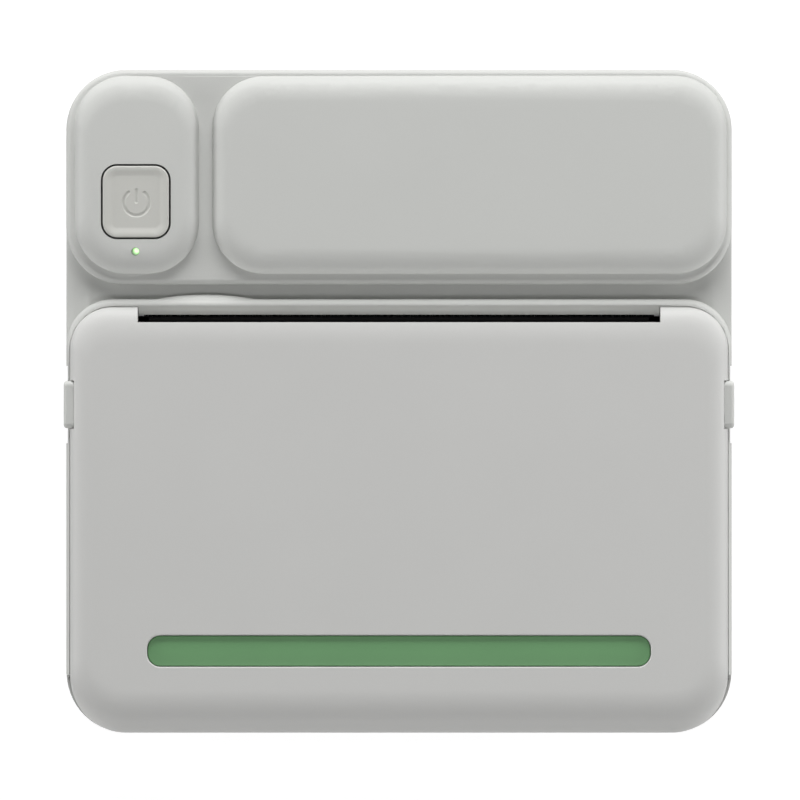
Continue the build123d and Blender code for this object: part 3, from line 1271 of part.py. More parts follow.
def make_power_button():
    """Button cap with a shallow dish, an engraved mark, a flange and a stem."""
    top = POD_TOP_Z + BUTTON_PROUD
    flange_top = POD_TOP_Z - BUTTON_WELL_DEPTH - BUTTON_FLANGE_GAP
    foot = flange_top - BUTTON_FLANGE_T
    cap = prism_z(button_plan(0.0), foot, top)
    cap = fillet(cap.edges().group_by(Axis.Z)[-1], BUTTON_EDGE_R)
    cap += prism_z(button_plan(BUTTON_FLANGE), foot, flange_top)
    cap -= prism_z(button_plan(-WALL / 2), foot, top - WALL)
    dish_z = top - BUTTON_DISH_DEPTH
    ball = Pos(BUTTON_X, BUTTON_Y, dish_z + BUTTON_DISH_R) * Sphere(BUTTON_DISH_R)
    cap -= prism_z(button_plan(-BUTTON_DISH_MARGIN), dish_z - MARK_DEPTH, top) & ball
    cap -= prism_z(power_mark(), dish_z - MARK_DEPTH, top)
    return cap + rod_z(BUTTON_X, BUTTON_Y, BUTTON_STEM_R, SWITCH_TOP + PLUNGER_RISE, top - WALL)


def make_switch_plunger():
    """Small plunger that stands out of the switch."""
    return rod_z(BUTTON_X, BUTTON_Y, PLUNGER_R, SWITCH_TOP - PLUNGER_DEPTH, SWITCH_TOP + PLUNGER_RISE)


def make_power_switch():
    """Switch body on the board, with a well for its plunger."""
    half = SWITCH_W / 2
    body = block(BUTTON_X - half, BUTTON_X + half, BUTTON_Y - half, BUTTON_Y + half, BOARD_TOP, SWITCH_TOP)
    well = SWITCH_TOP - PLUNGER_DEPTH - BUTTON_TRAVEL - PLUNGER_FIT
    return body - rod_z(BUTTON_X, BUTTON_Y, PLUNGER_R + PLUNGER_FIT, well, SWITCH_TOP)


def make_light_pipe():
    """Clear rod that carries the lamp's light to the pod's face."""
    foot = BOARD_TOP + LAMP_DIODE_H + LAMP_PIPE_GAP
    return rod_z(LAMP_X, LAMP_Y, LAMP_HOLE_R - LAMP_PIPE_FIT, foot, POD_TOP_Z - LAMP_SINK)


def make_status_lamp():
    """Lamp diode under the light pipe."""
    half = LAMP_DIODE_W / 2
    top = BOARD_TOP + LAMP_DIODE_H
    return block(LAMP_X - half, LAMP_X + half, LAMP_Y - half, LAMP_Y + half, BOARD_TOP, top)


def make_main_board():
    """Circuit board hung under the head plate."""
    board = prism_z(round_rect(*BOARD_X, *BOARD_Y, BOARD_CORNER_R), BOARD_Z, BOARD_TOP)
    for x in BOARD_SCREW_X:
        for y in BOARD_SCREW_Y:
            board -= rod_z(x, y, SMALL_SCREW_R + FOOT_GAP, BOARD_Z, BOARD_TOP)
    return board


def make_board_screws():
    """Four screws that hold the board to its bosses."""
    return [Pos(x, y, BOARD_Z) * small_screw() for x in BOARD_SCREW_X for y in BOARD_SCREW_Y]


def make_board_components():
    """Processor and radio on the board, ribbon socket and battery socket below it."""
    half = CHIP_W / 2
    mid_y = BOARD_MID_Y
    processor = block(CHIP_X - half, CHIP_X + half, mid_y - half, mid_y + half, BOARD_TOP, BOARD_TOP + CHIP_H)
    radio = Pos(CHIP_STEP, 0, 0) * processor
    socket_half = RIBBON_W / 2 + SOCKET_MARGIN
    socket = block(
        -socket_half, socket_half, RIBBON_Y - SOCKET_L / 2, RIBBON_Y + SOCKET_L / 2,
        BOARD_Z - SOCKET_H, BOARD_Z,
    )
    battery_socket = block(
        BOARD_X[1] - CHIP_W, BOARD_X[1] - CHIP_W / 2, mid_y, mid_y + SOCKET_L, BOARD_Z - SOCKET_H, BOARD_Z
    )
    return [processor, radio, socket, battery_socket]


def make_usb_port():
    """Charging socket in the left side wall: a thin shell with a tongue."""
    z = BOARD_TOP + PORT_H / 2
    x0 = -HALF_W + PORT_SINK
    x1 = x0 + PORT_L
    outer_r = PORT_H / 2 - SCREW_FIT
    shell = prism_x(Pos(BOARD_MID_Y, z) * RectangleRounded(PORT_W, PORT_H, outer_r), x0, x1)
    hole = RectangleRounded(PORT_W - 2 * PORT_WALL, PORT_H - 2 * PORT_WALL, outer_r - PORT_WALL)
    shell -= prism_x(Pos(BOARD_MID_Y, z) * hole, x0, x1 - 2 * PORT_WALL)
    half = PORT_W / 2 - PORT_TONGUE_IN
    tongue = block(
        x0 + PORT_TONGUE_T, x1 - PORT_WALL, BOARD_MID_Y - half, BOARD_MID_Y + half,
        z - PORT_TONGUE_T / 2, z + PORT_TONGUE_T / 2,
    )
    return shell + tongue


def make_battery_pack():
    """Rechargeable pack in its cradle."""
    half = BATTERY_W / 2
    pack = block(-half, half, BATTERY_Y[0], BATTERY_Y[1], FLOOR_Z, FLOOR_Z + BATTERY_H)
    return fillet(pack.edges().filter_by(Axis.X), BATTERY_EDGE_R)


# Saving


def save(name, shape):
    """Write one piece, or a group of like pieces, to its own file."""
    solids = []
    for piece in shape if isinstance(shape, list) else [shape]:
        solids += piece.solids()
    export_step(solids[0] if len(solids) == 1 else Compound(children=solids), f"parts/{name}.step")


PIECES = {
    "rear_housing": make_rear_housing,
    "foot_pads": make_foot_pads,
    "case_screws": make_case_screws,
    "front_housing": make_front_housing,
    "hinge_pins": make_hinge_pins,
    "roll_cover": make_roll_cover,
    "accent_strip": make_accent_strip,
    "release_tab_left": lambda: make_release_tab(-1),
    "release_tab_right": lambda: make_release_tab(1),
    "tab_spring_left": lambda: make_tab_spring(-1),
    "tab_spring_right": lambda: make_tab_spring(1),
    "platen_carrier": make_platen_carrier,
    "carrier_screws": make_carrier_screws,
    "platen_bushings": make_platen_bushings,
    "platen_shaft": make_platen_shaft,
    "platen_rubber": make_platen_rubber,
    "platen_gear": make_platen_gear,
    "idler_gear": make_idler_gear,
    "idler_axle": make_idler_axle,
    "motor_pinion": make_motor_pinion,
    "motor_shaft": make_motor_shaft,
    "stepper_motor": make_stepper_motor,
    "motor_screws": make_motor_screws,
    "mechanism_frame": make_mechanism_frame,
    "frame_screws": make_frame_screws,
    "printhead_ceramic": make_printhead_ceramic,
    "printhead_heatsink": make_printhead_heatsink,
    "head_pivot_pin": make_head_pivot_pin,
    "head_springs": make_head_springs,
    "head_ribbon": make_head_ribbon,
    "tear_bar": make_tear_bar,
    "roll_bay": make_roll_bay,
    "bay_screws": make_bay_screws,
    "guide_left": lambda: make_guide(-1),
    "guide_right": lambda: make_guide(1),
    "guide_pinion": make_guide_pinion,
    "paper_sensor": make_paper_sensor,
    "power_button": make_power_button,
    "switch_plunger": make_switch_plunger,
    "power_switch": make_power_switch,
    "light_pipe": make_light_pipe,
    "status_lamp": make_status_lamp,
    "main_board": make_main_board,
    "board_components": make_board_components,
    "board_screws": make_board_screws,
    "usb_port": make_usb_port,
    "battery_pack": make_battery_pack,
}

os.makedirs("parts", exist_ok=True)
for piece_name, make in PIECES.items():
    save(piece_name, make())
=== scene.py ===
"""Thermal receipt printer with a hinged roll cover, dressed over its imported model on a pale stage."""

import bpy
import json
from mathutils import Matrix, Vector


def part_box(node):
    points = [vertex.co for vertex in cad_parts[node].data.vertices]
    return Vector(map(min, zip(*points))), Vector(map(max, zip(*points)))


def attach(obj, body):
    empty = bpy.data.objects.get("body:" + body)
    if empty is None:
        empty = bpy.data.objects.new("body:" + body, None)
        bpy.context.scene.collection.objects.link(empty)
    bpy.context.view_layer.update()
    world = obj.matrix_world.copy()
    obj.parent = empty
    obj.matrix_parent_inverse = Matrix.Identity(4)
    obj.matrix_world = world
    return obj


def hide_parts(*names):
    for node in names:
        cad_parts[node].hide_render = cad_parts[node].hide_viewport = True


bl_info = {
    "name": "Receipt Printer",
    "version": (1, 0, 0),
    "blender": (4, 5, 0),
    "location": "3D Viewport > Sidebar > Printer",
    "description": "Makes the visible pieces and finishes of a small thermal receipt printer",
    "category": "Object",
}

import json
import math

import bmesh
import bpy
import numpy as np
from bpy.props import FloatProperty, FloatVectorProperty, IntProperty, PointerProperty
from bpy.types import Operator, Panel, PropertyGroup
from mathutils import Matrix, Vector

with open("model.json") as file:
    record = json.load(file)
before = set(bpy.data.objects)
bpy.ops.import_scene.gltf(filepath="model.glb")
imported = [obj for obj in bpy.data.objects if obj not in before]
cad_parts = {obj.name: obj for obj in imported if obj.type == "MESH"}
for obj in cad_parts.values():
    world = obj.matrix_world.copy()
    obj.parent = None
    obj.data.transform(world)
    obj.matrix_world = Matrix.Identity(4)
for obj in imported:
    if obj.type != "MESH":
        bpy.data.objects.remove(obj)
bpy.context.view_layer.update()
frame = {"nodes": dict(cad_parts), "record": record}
COVER_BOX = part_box("roll_cover")
STRIP_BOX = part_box("accent_strip")
BUTTON_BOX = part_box("power_button")
LAMP_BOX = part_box("light_pipe")
TAB_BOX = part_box("release_tab_right")

# Distances below which points are one, in meshes made here and in meshes from the CAD model
CLOSE = 1e-7
CAD_CLOSE = 2e-6


def length(name, description, default, low=0.0):
    """Property for a length in metres."""
    return FloatProperty(
        name=name, description=description, default=default, min=low,
        unit="LENGTH", subtype="DISTANCE", precision=5,
    )


def tint(name, description, red, green, blue):
    """Property for a colour, given as 8-bit display values."""
    values = [((c / 255 + 0.055) / 1.055) ** 2.4 for c in (red, green, blue)]
    return FloatVectorProperty(
        name=name, description=description, default=values, min=0.0, max=1.0, size=3, subtype="COLOR",
    )


def level(name, description, default, low=0.0):
    """Property for a share, a strength or another plain number."""
    return FloatProperty(name=name, description=description, default=default, min=low)


def number(name, description, default, low):
    """Property for a whole number."""
    return IntProperty(name=name, description=description, default=default, min=low)


def slant(name, description, degrees):
    """Property for an angle, given in degrees."""
    return FloatProperty(
        name=name, description=description, default=math.radians(degrees), subtype="ANGLE", unit="ROTATION",
    )


# How far joined shapes run into each other, and cutting tools reach past what they cut, in metres
LAP = 0.0002
BACKING_LAP = 0.0005
PAST = 0.001
FAR = 0.2

# Least radius of a corner and of the first ring round an axis, in metres
LEAST_CORNER = 0.00001
FIRST_RING = 0.0001

# Ribs inside the cover, in metres: bosses for screws, posts behind the tabs' springs, and rails
BOSS_R = 0.0024
POST_DEPTH = 0.0015
POST_HALF = 0.0023
POST_DROP = 0.0001
RAIL_PLACE = 0.0046
RAIL_HALF = 0.0006
RAIL_LIFT = 0.0005
RAIL_BACK = 0.002
RAIL_FRONT = 0.006

# Steps round and along the shapes made here
ROD_STEPS = 40
LATHE_STEPS = 32
SCREW_STEPS = 24
FOOT_STEPS = 48
RIDGE_STEPS = 8
HINGE_RINGS = 8
EDGE_STEPS = 6
STRIP_STEPS = 5
CAP_STEPS = 7
DISH_STEPS = 10
MARK_STEPS = 48
BAR_STEPS = 6
LENS_RINGS = 6
DOME_RINGS = 6

# Shares of a screw's shank radius, head height and head radius
THREAD_DEPTH = 0.18
TIP = 0.5
HEAD_DOME = 0.45
CROSS_DEPTH = 0.6
CROSS_WIDTH = 0.24
CROSS_LENGTH = 0.58


# Sizes and colours


class CoverSizes(PropertyGroup):
    """Sizes of the roll cover."""

    half_width: length("Half width", "Half of the cover's width at its sides", 0.07214)
    head_y: length("Head edge", "Where the cover ends at the head", 0.02064)
    hinge_y: length("Hinge edge", "Distance from the centre to the hinge edge", -COVER_BOX[0].y)
    face_z: length("Face height", "Height of the cover's flat face", COVER_BOX[1].z)
    thickness: length("Wall", "Wall thickness of the cover", 0.002)
    side_roll: length("Side roll", "How far the side edges roll in", 0.0048)
    head_roll: length("Head roll", "How far the head edge rolls in", 0.008)
    hinge_roll: length("Hinge roll", "How far the hinge edge rolls in", 0.0095)
    edge_drop: length("Edge drop", "How far down the side and head edges roll", 0.0033)
    hinge_drop: length("Hinge drop", "How far down the hinge edge rolls", 0.007)
    head_corner: length("Head corner", "Corner radius at the head edge", 0.0092)
    hinge_corner: length("Hinge corner", "Corner radius at the hinge edge", 0.01225)
    skirt_z: length("Lower edge", "Height of the cover's lower edge", 0.0413)
    skirt_half: length("Skirt half width", "Half width of the skirt over the hinge", 0.0595)
    barrel: length("Hinge barrel", "Radius of the hinge barrel", 0.0036)
    bore: length("Barrel bore", "Radius of the bore in the hinge barrel", 0.002)
    cheek: length("Hinge cheek", "Thickness of the barrel's closed ends", 0.003)
    pin_hole: length("Pin hole", "Radius of the holes for the hinge pins", 0.00125)
    slot_half: length("Slot half width", "Half width of the paper slot", 0.0573)
    slot_y: length("Slot edge", "Where the cover ends at the paper slot", 0.01734)
    pocket_gap: length("Strip gap", "Gap round the green strip", 0.0001)
    pocket_edge: length("Pocket edge", "Rounding of the edge round the green strip", 0.0003)
    backing: length("Backing", "How far the strip's backing reaches out round it", 0.0024)
    backing_drop: length("Backing drop", "How far the backing reaches below the strip", 0.0016)
    rings: number("Rings", "Rings in the rolled edges", 28, 8)
    corner_steps: number("Corner steps", "Steps in each corner", 18, 4)


class StripSizes(PropertyGroup):
    """Sizes of the green strip."""

    corner: length("Corner radius", "Corner radius of the strip", 0.00285)
    edge: length("Edge rounding", "Rounding along the strip's top edge", 0.0003)
    crown: length("Crown", "How far the strip's middle stands above its edge", 0.00008)


class ButtonSizes(PropertyGroup):
    """Sizes of the power button's cap and its mark."""

    width: length("Width", "Width of the cap", 0.0145)
    depth: length("Depth", "Size of the cap along the case", 0.01565)
    height: length("Height", "Height of the cap", 0.0044)
    corner: length("Corner radius", "Corner radius of the cap", 0.00315)
    edge: length("Edge rounding", "Rounding of the cap's outer edge", 0.00035)
    rim: length("Rim", "Width of the flat rim", 0.00022)
    slope: length("Slope", "Width of the sloping walls of the dish", 0.00175)
    dish: length("Dish depth", "How far the cap's middle is sunk", 0.00036)
    mark_radius: length("Mark radius", "Radius of the open ring in the power mark", 0.0028)
    mark_stroke: length("Mark stroke", "Width of the mark's groove", 0.0009)
    mark_bar: length("Mark bar", "Length of the bar in the power mark", 0.0025)
    mark_lift: length("Mark lift", "How far the groove's round tool stands above the face", 0.0004)
    mark_opening: slant("Mark opening", "Half angle of the ring's opening", 39)
    mark_x: length("Mark x", "Sideways shift of the mark from the cap's middle", 0.00012)
    mark_y: length("Mark y", "Shift of the mark towards the hinge", 0.00022)
    corner_steps: number("Corner steps", "Steps in each corner", 14, 4)


class LampSizes(PropertyGroup):
    """Sizes of the status lamp's lens."""

    radius: length("Radius", "Radius of the lens", 0.00085)
    dome: length("Dome", "Height of the lens dome", 0.00025)
    glow: level("Glow", "Brightness of the lit lamp", 1.1)


class TabSizes(PropertyGroup):
    """Sizes of the release tabs."""

    reach: length("Window reach", "How far the cover's window reaches in from the tab's face", 0.00645)
    wing: length("Wing", "How far the hidden wings stand out beside the tab", 0.0015)
    height: length("Height", "Height of the tab above its slider", 0.0048)
    gap: length("Gap", "Gap between the tab and its window", 0.00008)


class FootSizes(PropertyGroup):
    """Sizes of the rubber feet."""

    ridges: number("Ridges", "Rings moulded in the tread of each foot", 4, 1)
    ridge_depth: length("Ridge depth", "Depth of the grooves between the ridges", 0.00025)
    edge: length("Edge rounding", "Rounding at the tread's rim", 0.0003)


class ScrewSizes(PropertyGroup):
    """Sizes of the screws."""

    case_head: length("Case head", "Height of the case screws' heads", 0.0022)
    case_shank: length("Case shank", "Radius of the case screws' shanks", 0.0015)
    small_head: length("Small head", "Height of the small screws' heads", 0.0012)
    small_shank: length("Small shank", "Radius of the small screws' shanks", 0.001)
    pitch: length("Pitch", "Pitch of the thread", 0.0007)


class FinishColours(PropertyGroup):
    """Colours of the finishes."""

    case: tint("Case", "Moulded case", 200, 201, 198)
    cover: tint("Cover", "Moulded roll cover", 202, 202, 200)
    button: tint("Button", "Power button", 197, 197, 192)
    green: tint("Green strip", "Moulded green strip", 100, 148, 100)
    rubber: tint("Foot rubber", "Rubber feet", 42, 42, 43)
    platen: tint("Platen rubber", "Ground platen rubber", 34, 34, 36)
    steel: tint("Steel", "Plated steel", 188, 189, 191)
    # Near black tear bar: painted shade, so that the deep paper slot reads dark
    blade_painted_shade: tint("Blackened steel", "Blackened tear bar", 10, 10, 11)
    aluminium: tint("Aluminium", "Heat sink", 205, 206, 208)
    # Near black print head: painted shade, so that its top inside the paper slot reads dark
    ceramic_painted_shade: tint("Ceramic", "Print head's black glazed ceramic", 14, 14, 15)
    gear: tint("Gear plastic", "Natural moulded gears", 218, 215, 202)
    brass: tint("Brass", "Motor pinion", 196, 164, 92)
    liner: tint("Liner", "Dark moulded paper bay", 58, 60, 62)
    guide: tint("Guide", "Moulded paper guides", 66, 96, 70)
    board: tint("Board", "Solder mask of the circuit board", 24, 92, 56)
    chip: tint("Chip", "Moulded chip bodies", 32, 32, 34)
    ribbon: tint("Ribbon", "Amber film of the head ribbon", 196, 132, 60)
    wrap: tint("Pack wrap", "Shrink film round the battery pack", 52, 84, 138)
    lamp: tint("Lamp", "Lit lamp", 214, 255, 196)


class StageSizes(PropertyGroup):
    """Sizes of the stage, its camera and its lamps."""

    floor_half: length("Floor half width", "Half width of the floor", 0.9)
    camera_height: length("Camera height", "Height of the camera above the floor", 2.9692)
    camera_x: length("Camera x", "Sideways place of the camera", 0.000219, -1.0)
    camera_y: length("Camera y", "Place of the camera along the case", 0.000303, -1.0)
    focal: level("Focal length", "Lens of the camera in millimetres", 600.0, 1.0)
    sky: level("Sky", "Strength of the even light from all round", 0.0)
    floor_glow: level("Floor glow", "White added to the floor behind the object", 0.85)
    floor_shade: level("Floor shade", "Share of light that the floor gives back", 0.3)
    key: level("Key lamp", "Strength of the low lamp at the head side", 0.6)
    key_elevation: slant("Key elevation", "Height angle of the key lamp", 18)
    high: level("High lamp", "Strength of the high lamp at the head side", 0.64)
    high_elevation: slant("High elevation", "Height angle of the high lamp", 32)
    left: level("Left lamp", "Strength of the lamp on the left", 0.42)
    right: level("Right lamp", "Strength of the near lamp on the right", 0.48)
    side_elevation: slant("Side elevation", "Height angle of the side lamps", 14)
    hinge: level("Hinge lamp", "Strength of the low lamp at the hinge side", 0.33)
    hinge_elevation: slant("Hinge elevation", "Height angle of the hinge lamp", 20)
    fill: level("Fill lamp", "Strength of the high lamp at the hinge side", 0.185)
    fill_elevation: slant("Fill elevation", "Height angle of the fill lamp", 62)


# Mesh tools


def add_piece(name, points, faces):
    """New mesh object from points and faces."""
    mesh = bpy.data.meshes.new(name)
    mesh.from_pydata([tuple(p) for p in points], [], [tuple(f) for f in faces])
    mesh.validate()
    return add_object(name, mesh)


def add_object(name, data):
    """New object for a mesh, a lamp or a camera, in the scene."""
    thing = bpy.data.objects.new(name, data)
    bpy.context.scene.collection.objects.link(thing)
    return thing


def welded(mesh, distance):
    """Editable copy of a mesh with its doubled points merged."""
    work = bmesh.new()
    work.from_mesh(mesh)
    bmesh.ops.remove_doubles(work, verts=work.verts, dist=distance)
    return work


def face_outwards(piece):
    """Merges doubled points and turns every face outwards."""
    work = welded(piece.data, CLOSE)
    bmesh.ops.recalc_face_normals(work, faces=work.faces)
    work.to_mesh(piece.data)
    work.free()


def discard(thing):
    """Removes an object and its mesh."""
    mesh = thing.data
    bpy.data.objects.remove(thing)
    bpy.data.meshes.remove(mesh)


def settle(piece):
    """Turns the piece's modifiers into plain mesh."""
    graph = bpy.context.evaluated_depsgraph_get()
    done = bpy.data.meshes.new_from_object(piece.evaluated_get(graph))
    piece.modifiers.clear()
    old = piece.data
    piece.data = done
    done.name = piece.name
    bpy.data.meshes.remove(old)
    return piece


def carve(piece, operation, *tools):
    """Cuts or joins other closed meshes and removes them."""
    for tool in tools:
        step = piece.modifiers.new(operation.title(), "BOOLEAN")
        step.operation = operation
        step.solver = "EXACT"
        step.object = tool
        settle(piece)
        discard(tool)
    return piece


def smooth(piece, degrees=32.0):
    """Smooth shading with sharp edges kept, and flat faces kept flat."""
    mesh = piece.data
    mesh.polygons.foreach_set("use_smooth", np.ones(len(mesh.polygons), bool))
    mesh.set_sharp_from_angle(angle=math.radians(degrees))
    weighted = piece.modifiers.new("Flat faces", "WEIGHTED_NORMAL")
    weighted.keep_sharp = True
    weighted.weight = 60
    return piece


def merged_copy(node, name):
    """Copy of a CAD node's mesh with its loose triangles merged."""
    mesh = frame["nodes"][node].data.copy()
    mesh.name = name
    work = welded(mesh, CAD_CLOSE)
    work.to_mesh(mesh)
    work.free()
    mesh.materials.clear()
    return add_object(name, mesh)


def block(name, low, high):
    """Closed box between two corners, as a cutting tool."""
    xs, ys, zs = zip(low, high)
    points = [(x, y, z) for z in zs for y in ys for x in xs]
    faces = [(0, 2, 3, 1), (4, 5, 7, 6), (0, 1, 5, 4), (2, 6, 7, 3), (0, 4, 6, 2), (1, 3, 7, 5)]
    return add_piece(name, points, faces)


def ring(half_x, y0, y1, low_r, high_r, z, steps):
    """Rounded rectangle of points at height z, anticlockwise, with its own radius at each end."""
    corners = [
        (half_x - low_r, y0 + low_r, low_r, -90),
        (half_x - high_r, y1 - high_r, high_r, 0),
        (high_r - half_x, y1 - high_r, high_r, 90),
        (low_r - half_x, y0 + low_r, low_r, 180),
    ]
    points = []
    for cx, cy, r, start in corners:
        for i in range(steps + 1):
            turn = math.radians(start + 90 * i / steps)
            points.append((cx + r * math.cos(turn), cy + r * math.sin(turn), z))
    return points


def plate_ring(box, width, depth, r, z, steps, inset=0.0):
    """Rounded rectangle of points round the middle of a box, drawn in by inset."""
    centre = (box[0] + box[1]) / 2
    half = width / 2 - inset
    tall = depth / 2 - inset
    r = max(r - inset, LEAST_CORNER)
    return [(centre.x + x, centre.y + y, h) for x, y, h in ring(half, -tall, tall, r, r, z, steps)]


def stack(name, rings):
    """Closed solid through rings of points, each ring with as many points as the next."""
    count = len(rings[0])
    points = [p for r in rings for p in r]
    faces = [tuple(reversed(range(count)))]
    for a in range(0, (len(rings) - 1) * count, count):
        for i in range(count):
            j = (i + 1) % count
            faces.append((a + i, a + j, a + count + j, a + count + i))
    top = (len(rings) - 1) * count
    faces.append(tuple(range(top, top + count)))
    piece = add_piece(name, points, faces)
    face_outwards(piece)
    return piece


def quarter(places, whole):
    """Sine and cosine at places along a quarter turn that is a whole long."""
    turns = [math.pi / 2 * place / whole for place in places]
    return [(math.sin(turn), math.cos(turn)) for turn in turns]


def circle(steps):
    """Cosine and sine at even steps of a full turn."""
    turns = [2 * math.pi * i / steps for i in range(steps)]
    return [(math.cos(turn), math.sin(turn)) for turn in turns]


def tube_path(name, path, radius):
    """Round tool along a path, with a half ball at each end."""
    sides = 12
    ball_rings = 5
    # The first ring of a ball stands a quarter of a step from its pole
    ball = quarter([i + 0.25 for i in range(ball_rings)], ball_rings)
    last = len(path) - 1
    directions = [(path[min(i + 1, last)] - path[max(i - 1, 0)]).normalized() for i in range(last + 1)]
    start = directions[0]
    end = directions[-1]
    stations = [(path[0] - start * radius * near, start, radius * wide) for wide, near in ball]
    stations += [(p, d, radius) for p, d in zip(path, directions)]
    stations += [(path[-1] + end * radius * near, end, radius * wide) for wide, near in reversed(ball)]
    rings = []
    for centre, along, r in stations:
        across = Vector((0, 0, 1)).cross(along).normalized()
        up = along.cross(across)
        rings.append([centre + r * (across * c + up * s) for c, s in circle(sides)])
    return stack(name, rings)


def lathe(profile, steps, x=0.0, y=0.0):
    """Rings of a turned shape round an upright axis: profile is a list of (radius, height)."""
    return [[(x + r * c, y + r * s, z) for c, s in circle(steps)] for r, z in profile]


def rod_x(name, y, z, r, x0, x1):
    """Closed round rod along X, as a tool or a part."""
    return stack(name, [[(x, y + r * c, z + r * s) for c, s in circle(ROD_STEPS)] for x in (x0, x1)])


def join(piece, parts):
    """Adds other meshes to a piece and removes them."""
    work = bmesh.new()
    for part in [piece] + parts:
        work.from_mesh(part.data)
    work.to_mesh(piece.data)
    work.free()
    for part in parts:
        discard(part)
    return piece


def islands(node):
    """Boxes (low, high) of the separate solids in a CAD node."""
    work = welded(frame["nodes"][node].data, CAD_CLOSE)
    seen = set()
    boxes = []
    for first in work.verts:
        if first.index in seen:
            continue
        group = []
        todo = [first]
        seen.add(first.index)
        while todo:
            vert = todo.pop()
            group.append(vert.co.copy())
            for edge in vert.link_edges:
                other = edge.other_vert(vert)
                if other.index not in seen:
                    seen.add(other.index)
                    todo.append(other)
        low = Vector([min(p[k] for p in group) for k in range(3)])
        high = Vector([max(p[k] for p in group) for k in range(3)])
        boxes.append((low, high))
    work.free()
    return boxes


def add_socket(tree, label, kind, way="INPUT"):
    """New input or output of a node group."""
    return tree.interface.new_socket(label, in_out=way, socket_type="NodeSocket" + kind)


def scatter(name, shape, points, material, turns=None):
    """Sets copies of a shape on points with Geometry Nodes and gives a plain mesh."""
    tree = bpy.data.node_groups.new(name + "_tree", "GeometryNodeTree")
    add_socket(tree, "Points", "Geometry")
    shape_socket = add_socket(tree, "Shape", "Object")
    finish_socket = add_socket(tree, "Finish", "Material")
    add_socket(tree, "Pieces", "Geometry", "OUTPUT")
    source = tree.nodes.new("NodeGroupInput")
    out = tree.nodes.new("NodeGroupOutput")
    info = tree.nodes.new("GeometryNodeObjectInfo")
    turn = tree.nodes.new("GeometryNodeInputNamedAttribute")
    turn.data_type = "FLOAT_VECTOR"
    turn.inputs["Name"].default_value = "turn"
    place = tree.nodes.new("GeometryNodeInstanceOnPoints")
    real = tree.nodes.new("GeometryNodeRealizeInstances")
    paint = tree.nodes.new("GeometryNodeSetMaterial")
    for giver, given, taker, taken in (
        (source, "Points", place, "Points"),
        (source, "Shape", info, "Object"),
        (info, "Geometry", place, "Instance"),
        (turn, "Attribute", place, "Rotation"),
        (place, "Instances", real, "Geometry"),
        (real, "Geometry", paint, "Geometry"),
        (source, "Finish", paint, "Material"),
        (paint, "Geometry", out, "Pieces"),
    ):
        tree.links.new(giver.outputs[given], taker.inputs[taken])
    piece = add_piece(name, points, [])
    attribute = piece.data.attributes.new("turn", "FLOAT_VECTOR", "POINT")
    attribute.data.foreach_set("vector", np.array(turns or [(0, 0, 0)] * len(points), float).ravel())
    step = piece.modifiers.new("Scatter", "NODES")
    step.node_group = tree
    step[shape_socket.identifier] = shape
    step[finish_socket.identifier] = material
    settle(piece)
    discard(shape)
    return piece


def finish_piece(piece, body, slot_name, *nodes):
    """Gives a finished piece the material of its slot and its body, and hides the nodes it stands for."""
    piece.data.materials.clear()
    piece.data.materials.append(MATERIALS[slot_name])
    for polygon in piece.data.polygons:
        polygon.material_index = 0
    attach(piece, body)
    if nodes:
        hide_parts(*nodes)


# Shader groups, each built once

MATERIALS = {}


def feed(tree, socket, value):
    """Gives a socket a number, or links another socket to it."""
    if isinstance(value, (int, float)):
        socket.default_value = value
    else:
        tree.links.new(value, socket)


def math_node(tree, operation, *values):
    """Math node fed by sockets or numbers; gives its output."""
    node = tree.nodes.new("ShaderNodeMath")
    node.operation = operation
    for socket, value in zip(node.inputs, values):
        feed(tree, socket, value)
    return node.outputs[0]


def swing(tree, factor, amount, base):
    """Base value moved up and down by an amount, with a factor round a half."""
    return math_node(tree, "MULTIPLY_ADD", math_node(tree, "SUBTRACT", factor, 0.5), amount, base)


def noise_node(tree, vector, scale, detail=2.0, rough=0.5):
    """Noise at a scale in turns per metre; gives its factor."""
    node = tree.nodes.new("ShaderNodeTexNoise")
    node.inputs["Roughness"].default_value = rough
    tree.links.new(vector, node.inputs["Vector"])
    feed(tree, node.inputs["Scale"], scale)
    feed(tree, node.inputs["Detail"], detail)
    return node.outputs["Fac"]


def shade_colour(tree, colour, factor, amount):
    """Colour made lighter and darker by a factor round a half, by an amount."""
    scale = tree.nodes.new("ShaderNodeVectorMath")
    scale.operation = "SCALE"
    tree.links.new(colour, scale.inputs[0])
    tree.links.new(swing(tree, factor, amount, 1.0), scale.inputs["Scale"])
    return scale.outputs[0]


